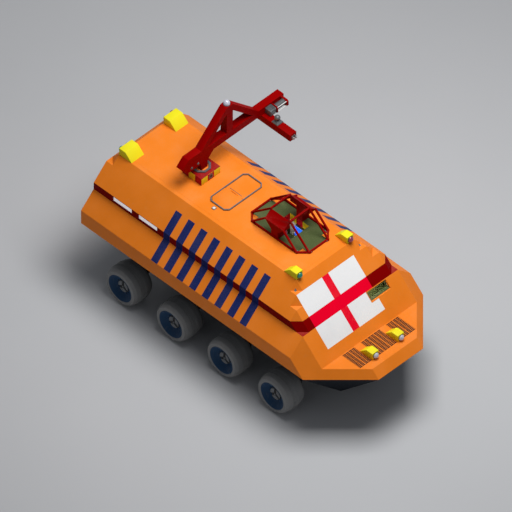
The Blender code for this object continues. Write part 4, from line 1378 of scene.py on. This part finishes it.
@dataclass
class Crane:
    """The plinth, the slewing ring, the trussed arm, the winch, the jib and the camera."""

    bolt_spots: tuple[Pair, ...] = ((-1.0, 10.45), (-2.0, 10.45))
    grooves: int = 18
    winch_x: float = 10.5
    winch_z: float = 11.47
    cheek: tuple[Pair, ...] = ((10.002, 11.02), (10.9, 11.02), (11.1, 11.19), (11.1, 11.78), (10.9, 11.95),
                               (10.002, 11.95))
    cheek_spans: tuple[Pair, ...] = ((10.44, 10.56), (11.93, 12.2))
    rods: tuple[Pair, ...] = ((10.97, 11.8), (10.97, 11.17))

    def base(self) -> None:
        """The plinth with its socket, and the ring with its bolts."""
        plinth = block(at(8.0, -1.5, 8.002), at(11.0, 1.5, 9.0), 0.006)
        make_piece("plinth_shell", plinth, PLINTH, "hull", ["crane_base"])
        ring = [(-0.004, 0.05), (-0.004, 0.082), (0.004, 0.082), (0.008, 0.078), (0.008, 0.05)]
        socket = placed(lathe(ring, 32, closed=True), towards(Axis.X, at(11.0, 0.0, 8.5)))
        make_piece("socket_ring", socket, GREY, "hull")
        hole = lathe([(0.002, 0.0), (0.002, 0.0505), (-0.001, 0.0505), (-0.001, 0.0)], 24)
        make_piece("socket_plug", placed(hole, towards(Axis.X, at(11.0, 0.0, 8.5))), SEAL, "hull")
        make_piece("slewing_ring", clean_copy("slew_ring"), GREY, "hull", ["slew_ring"], round_by=0.004)
        bolts = REPEATS.bolts(STEEL, 16, 1.0 * MODULE, 0.009, 0.01, towards(Axis.Z, at(9.5, 0.0, 9.16)))
        make_piece("slewing_bolts", bolts, STEEL, "hull")

    def arm(self) -> None:
        """The trussed arm with its pins and top lamp."""
        make_piece("crane_truss", clean_copy("boom"), DARK_RED, "crane_arm", ["boom"], round_by=0.008)
        heads = [REPEATS.bolts_at(GREY, [at(x, y, z) for y, z in self.bolt_spots], axis, 0.03, 0.02)
                 for x, axis in ((10.0, Axis.X), (9.0, Axis.AFT))]
        make_piece("truss_pins", merged(heads), GREY, "crane_arm")
        radius = 0.39 * MODULE
        dome = [(0.0, 0.0), (0.0, radius * 0.93), (0.01, radius)]
        dome += [(0.0375 + radius * math.sin(a), radius * math.cos(a)) for a in (math.pi / 2 * i / 10 for i in range(10))]
        dome.append((0.0375 + radius, 0.0))
        lamp = placed(lathe(dome, 36), towards(Axis.Z, at(9.5, 4.0, 16.002)))
        make_piece("top_lamp", lamp, WHITE_LENS, "crane_arm", ["boom_lamp"])
        collar = lathe([(0.0, radius * 0.9), (0.0, radius * 1.12), (0.008, radius * 1.12), (0.012, radius * 1.02)], 36,
                       closed=True)
        make_piece("top_lamp_collar", placed(collar, towards(Axis.Z, at(9.5, 4.0, 16.001))), DARK_STEEL, "crane_arm")

    def winch(self) -> None:
        """The winch's motor, cheeks, rods and grooved drum."""
        motor = block(at(10.002, 9.54, 11.03), at(10.895, 10.437, 11.81), 0.008)
        make_piece("winch_motor", motor, GREY, "crane_arm", ["winch_frame"])
        fins = REPEATS.row(GREY, 8, at(10.45, 9.64, 11.82), Vector((0, 0.1 * MODULE, 0)), Vector((0.19, 0.008, 0.018)))
        make_piece("motor_fins", fins, GREY, "crane_arm", round_by=0.001)
        spots = [at(10.895, y, z) for y in (9.68, 10.3) for z in (11.17, 11.68)]
        make_piece("motor_bolts", REPEATS.bolts_at(STEEL, spots, Axis.X, 0.009, 0.009), STEEL, "crane_arm")
        cheeks = [prism(self.cheek, Axis.Y, low, high, 0.006) for low, high in self.cheek_spans]
        make_piece("winch_cheeks", merged(cheeks), DARK_RED, "crane_arm")
        rods = [tube([at(x, 10.5, z), at(x, 12.0, z)], 0.0125, 12) for x, z in self.rods]
        make_piece("winch_rods", merged(rods), WHITE, "crane_arm")
        low, width = 10.562, (11.928 - 10.562) * MODULE
        rim, barrel, edge = 0.0995, 0.093, 0.016
        drum = [(0.0, 0.0), (0.0, rim), (edge, rim), (edge + 0.003, barrel)]
        pitch = (width - 2 * edge - 0.006) / self.grooves
        for number in range(self.grooves):
            start = edge + 0.003 + number * pitch
            drum += [(start + pitch * 0.3, barrel - 0.004), (start + pitch * 0.7, barrel - 0.004), (start + pitch, barrel)]
        drum += [(width - edge, rim), (width, rim), (width, 0.0)]
        place = towards(Axis.Y, at(self.winch_x, low, self.winch_z))
        make_piece("grooved_drum", placed(lathe(drum, 40), place), GREY, "drum", ["winch_drum"])

    def jib(self) -> None:
        """The swinging arm, its pin, its coupling prongs and the ball camera."""
        top = 10.98
        arm = block(at(9.0, 9.0, 10.0), at(14.5, 10.0, top), 0.008)
        pin = lathe([(0.0, 0.0), (0.0, 0.075), (0.0255, 0.075), (0.0255, 0.0)], 32)
        boss = placed(pin, towards(Axis.Z, at(9.5, 9.5, 10.896)))
        make_piece("jib_beam", arm, DARK_RED, "jib_arm", ["jib"])
        make_piece("jib_boss", boss, STEEL, "jib_arm")
        cap = lathe([(0.0, 0.0), (0.0, 0.05), (-0.012, 0.045), (-0.012, 0.0)], 24)
        make_piece("jib_pin_cap", placed(cap, towards(Axis.Z, at(9.5, 9.5, 10.0))), STEEL, "jib_arm")
        prongs = [block(at(14.46, y, 10.35), at(14.85, y + 0.15, 10.65), 0.004) for y in (9.25, 9.6)]
        prongs.append(tube([at(14.72, 9.2, 10.5), at(14.72, 9.8, 10.5)], 0.012, 14))
        make_piece("coupling_prongs", merged(prongs), STEEL, "jib_arm")
        plate = block(at(14.49, 9.22, 10.3), at(14.52, 9.78, 10.7), 0.003)
        make_piece("coupling_plate", plate, GREY, "jib_arm")
        self.camera(top)

    def camera(self, top: float) -> None:
        """The ball camera on its flared foot.

        Args:
            top: height of the jib's top face in modules.
        """
        shape = bmesh.new()
        rings = []
        for half, z in ((0.475, top + 0.002), (0.475, 11.1), (0.44, 11.14), (0.2, 11.35), (0.2, 11.42)):
            rings.append([shape.verts.new(at(12.0 + a * half, 9.5 + b * half, z))
                          for a, b in ((-1, -1), (1, -1), (1, 1), (-1, 1))])
        for first, second in zip(rings, rings[1:]):
            for i in range(4):
                j = (i + 1) % 4
                shape.faces.new((first[i], first[j], second[j], second[i]))
        shape.faces.new(rings[0])
        shape.faces.new(rings[-1])
        make_piece("camera_foot", to_mesh(shape, "foot"), GREY, "jib_arm", ["camera_dome"], round_by=0.003)
        radius = 0.35 * MODULE
        neck = [(0.0, 0.0), (0.0, 0.04), (0.05, 0.036), (0.055, 0.0)]
        ball = [(-radius * math.cos(math.pi * i / 24), radius * math.sin(math.pi * i / 24)) for i in range(25)]
        ball[0], ball[-1] = (-radius, 0.0), (radius, 0.0)
        middle = at(12.0, 9.5, 11.7)
        shell = merged([placed(lathe(neck, 28), towards(Axis.Z, at(12.0, 9.5, 11.38))),
                        placed(lathe(ball, 40), Matrix.Translation(middle))])
        make_piece("camera_ball", shell, GREY, "jib_arm")
        eye = lathe([(0.0, 0.0), (0.0, 0.034), (0.006, 0.034), (0.009, 0.026), (0.012, 0.0)], 28)
        turn = Matrix.Rotation(math.radians(-25), 4, "Z") @ Matrix.Rotation(math.radians(105), 4, "Y")
        make_piece("camera_eye", placed(eye, Matrix.Translation(middle) @ turn @ Matrix.Translation((0, 0, 0.079))),
                   CAMERA_GLASS, "jib_arm")

    def build(self) -> None:
        """Builds the crane."""
        self.base()
        self.arm()
        self.winch()
        self.jib()


@dataclass
class Ramp:
    """The stern door with its ribs, handles and bolts."""

    ribs: int = 5

    def build(self) -> None:
        """Builds the door."""
        door = clean_copy("rear_ramp")
        make_piece("stern_door", door, ROOF_ORANGE, "ramp", ["rear_ramp"], round_by=0.004)
        bars = REPEATS.row(ROOF_ORANGE, self.ribs, at(-0.02, 0.0, 1.4), Vector((0, 0, 1.1 * MODULE)),
                           Vector((0.022, 1.28, 0.05)))
        make_piece("door_ribs", bars, ROOF_ORANGE, "ramp", round_by=0.005)
        handles = []
        for side in (-1, 1):
            y = side * 2.2
            handles.append(tube([at(-0.0, y, 3.6), at(-0.12, y, 3.65), at(-0.16, y, 3.75), at(-0.16, y, 4.55),
                                 at(-0.12, y, 4.65), at(-0.0, y, 4.7)], 0.01, 12))
        make_piece("door_handles", merged(handles), STEEL, "ramp")
        spots = [at(-0.003, side * 2.85, z) for side in (-1, 1) for z in (1.2, 2.4, 3.6, 4.8, 6.0)]
        make_piece("door_bolts", REPEATS.bolts_at(STEEL, spots, Axis.AFT, 0.014, 0.016), STEEL, "ramp")


@dataclass
class Wheel:
    """One wheel: a smooth balloon tyre on a deep dish with a three-part hub."""

    number: int
    side_name: str
    radius: float = 0.625
    half: float = 0.375
    bore: float = 0.445
    sides: int = 96
    lugs: int = 44
    facet_angle: float = math.radians(8)

    def placement(self) -> Matrix:
        """The matrix that puts the wheel's axis, +Z outwards, in its place."""
        side = SIDES[self.side_name]
        axis = Axis.Y if side > 0 else Axis.STARBOARD
        return towards(axis, at(AXLE_X[self.number - 1], side * 8.4, -5.5))

    def tyre(self) -> bpy.types.Mesh:
        """The tyre's mesh with its shoulders and tread lugs."""
        outer = [(0.0, 0.6185), (0.06, 0.6185), (0.064, 0.612), (0.07, 0.612), (0.074, 0.6185), (0.132, 0.6185),
                 (0.272, 0.5925), (0.276, 0.5895), (0.36, 0.5475), (0.367, 0.5405), (0.3725, 0.512), (0.369, 0.508),
                 (0.369, 0.503), (0.3725, 0.499), (0.3735, 0.465), (0.369, 0.452), (0.36, 0.4455)]
        profile = [(-h, r) for h, r in reversed(outer[1:])] + outer
        body = lathe(profile, self.sides, closed=True)
        parts = [body]
        for sign in (-1, 1):
            lug = REPEATS.run(REPEATS.lugs, RUBBER, Count=self.lugs, Circle_Radius=0.6195,
                              Size=(0.0105, 0.03, 0.085), Lean=sign * 0.45, Height=sign * 0.098 * 0.94)
            parts.append(lug)
        return merged(parts)

    def rim(self) -> bpy.types.Mesh:
        """The rim's dish, its rolled lip and its flat hub face."""
        seat = self.bore - 0.0006
        dish = [(0.2, 0.0), (0.2, 0.205), (0.206, 0.215), (0.215, 0.222), (0.217, 0.245), (0.224, 0.256),
                (0.262, 0.298), (0.304, 0.345), (0.338, 0.387), (0.352, 0.408), (0.36, 0.42), (0.3655, 0.427),
                (0.3665, 0.434), (0.365, 0.441), (0.358, seat)]
        back = [(-0.36, seat), (-0.365, 0.44), (-0.365, 0.412), (0.27, 0.41), (0.14, 0.25), (0.14, 0.0)]
        return lathe(dish + back, self.sides)

    def hub(self) -> list[tuple[str, bpy.types.Mesh, Finish]]:
        """The hub's dark plate, its three grey sectors and its bolts.

        Returns:
            (word, mesh, finish) of each part.
        """
        plate = lathe([(0.196, 0.0), (0.196, 0.198), (0.208, 0.198), (0.212, 0.192), (0.212, 0.0)], 48)
        shape = bmesh.new()
        for number in range(3):
            middle = math.tau * (number / 3) + math.pi / 6
            arc = [middle + math.radians(a) for a in (-50, -38, -25, -12, 0, 12, 25, 38, 50)]
            outline = [Vector((0.045 * math.cos(middle), 0.045 * math.sin(middle), 0))]
            outline += [Vector((0.19 * math.cos(a), 0.19 * math.sin(a), 0)) for a in arc]
            low = [shape.verts.new(p + Vector((0, 0, 0.205))) for p in outline]
            centre = sum(outline, Vector((0, 0, 0))) / len(outline)
            high = [shape.verts.new(centre.lerp(p, 0.9) + Vector((0, 0, 0.243))) for p in outline]
            shape.faces.new(low)
            shape.faces.new(high)
            for i in range(len(low)):
                j = (i + 1) % len(low)
                shape.faces.new((low[i], low[j], high[j], high[i]))
        sectors = to_mesh(shape, "sectors")
        cap = lathe([(0.21, 0.0), (0.21, 0.03), (0.25, 0.03), (0.256, 0.024), (0.258, 0.0)], 24)
        bolts = REPEATS.bolts(DARK_STEEL, 12, 0.2335, 0.0085, 0.02, Matrix.Translation((0, 0, 0.213)))
        return [("hub_plate", plate, SEAL), ("hub_sectors", merged([sectors, cap]), HUB_GREY), ("hub_bolts", bolts, DARK_STEEL)]

    def build(self) -> None:
        """Builds the wheel on its own body."""
        place = self.placement()
        tag = f"{self.number}_{self.side_name}"
        body = f"wheel_{tag}"
        make_piece(f"balloon_tyre_{tag}", placed(self.tyre(), place), RUBBER, body, [f"tyre_{tag}"],
                   crease=self.facet_angle)
        make_piece(f"wheel_dish_{tag}", placed(self.rim(), place), RIM_BLUE, body, [f"rim_{tag}"])
        for word, mesh, look in self.hub():
            make_piece(f"{word}_{tag}", placed(mesh, place), look, body)


@dataclass
class RunningGear:
    """The axle tubes, the steering knuckles and the eight wheels."""

    flange_bolts: int = 12

    def build(self) -> None:
        """Builds the running gear."""
        for number, x in enumerate(AXLE_X, 1):
            axle = clean_copy(f"axle_{number}")
            make_piece(f"axle_beam_{number}", axle, DARK_STEEL, "hull", [f"axle_{number}"])
            for name, side in SIDES.items():
                if number > 2:
                    knuckle = clean_copy(f"knuckle_{number}_{name}")
                    node = f"knuckle_{number}_{name}"
                    make_piece(f"steering_{node}", knuckle, GREY, f"{node}_body", [node])
                    spots = [at(x, side * 6.3, -5.5) + Vector((0, 0, sign * 0.325)) for sign in (-1, 1)]
                    caps = merged([REPEATS.bolts_at(STEEL, [spot], Axis.Z, 0.05, 0.02) for spot in spots])
                    make_piece(f"kingpin_caps_{number}_{name}", caps, STEEL, "hull")
                else:
                    axis = Axis.Y if side > 0 else Axis.STARBOARD
                    place = towards(axis, at(x, side * 1.66 / MODULE, -5.5))
                    ring = REPEATS.bolts(STEEL, self.flange_bolts, 0.165, 0.013, 0.018, place)
                    make_piece(f"flange_bolts_{number}_{name}", ring, STEEL, "hull")
                Wheel(number, name).build()


@dataclass
class Studio:
    """The pale floor, the soft lights and the camera."""

    scale: float = 14.286
    target: Triple = (-0.595, 0.0, 1.7275)
    distance: float = 40.0
    floor_half: float = 60.0

    def floor(self) -> None:
        """A level floor under the tyres."""
        shape = bmesh.new()
        bmesh.ops.create_grid(shape, x_segments=8, y_segments=8, size=self.floor_half)
        mesh = bpy.data.meshes.new("studio_floor")
        shape.to_mesh(mesh)
        shape.free()
        mesh.transform(Matrix.Translation((0, 0, GROUND_Z)))
        mesh.materials.append(FLOOR_GREY.material())
        floor = bpy.data.objects.new("studio_floor", mesh)
        bpy.context.scene.collection.objects.link(floor)

    def light(self, name: str, place: Triple, size: float, power: float) -> None:
        """An area light that points at the vehicle.

        Args:
            name: the light's name.
            place: where it stands, in metres.
            size: length of its sides.
            power: its power in watts.
        """
        lamp = bpy.data.lights.new(name, "AREA")
        lamp.size = size
        lamp.energy = power
        holder = bpy.data.objects.new(name, lamp)
        holder.location = place
        holder.rotation_euler = (Vector(self.target) - Vector(place)).to_track_quat("-Z", "Y").to_euler()
        bpy.context.scene.collection.objects.link(holder)

    def camera(self) -> None:
        """A parallel camera at the photograph's angle."""
        data = bpy.data.cameras.new("camera")
        data.type = "ORTHO"
        data.ortho_scale = self.scale
        data.clip_end = 200.0
        camera = bpy.data.objects.new("camera", data)
        direction = Vector((0.5, -0.5, math.sqrt(0.5)))
        camera.location = Vector(self.target) + direction * self.distance
        camera.rotation_euler = direction.to_track_quat("Z", "Y").to_euler()
        bpy.context.scene.collection.objects.link(camera)
        bpy.context.scene.camera = camera

    def build(self) -> None:
        """Builds the studio."""
        self.floor()
        self.camera()
        self.light("key_light", (2.2, 3.3, 23.7), 13.0, 4800.0)
        self.light("front_light", (18.0, -12.0, 10.0), 9.0, 90.0)
        self.light("back_light", (-18.0, 6.0, 10.0), 9.0, 120.0)
        world = bpy.data.worlds.new("studio_world")
        world.use_nodes = True
        background = world.node_tree.nodes["Background"]
        background.inputs[0].default_value = (0.9, 0.93, 1.0, 1.0)
        background.inputs[1].default_value = 0.15
        bpy.context.scene.world = world
        bpy.context.scene.view_settings.view_transform = "Standard"


def main() -> None:
    """Builds the vehicle and its studio."""
    logging.basicConfig(level=logging.INFO, format="%(message)s")
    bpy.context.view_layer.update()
    for part in (Hull(), BowGrilles(), Lamps(), Hatch(), Cockpit(), Crane(), Ramp(), RunningGear(), Studio()):
        log.info("building %s", type(part).__name__)
        part.build()


if __name__ == "__main__":
    main()
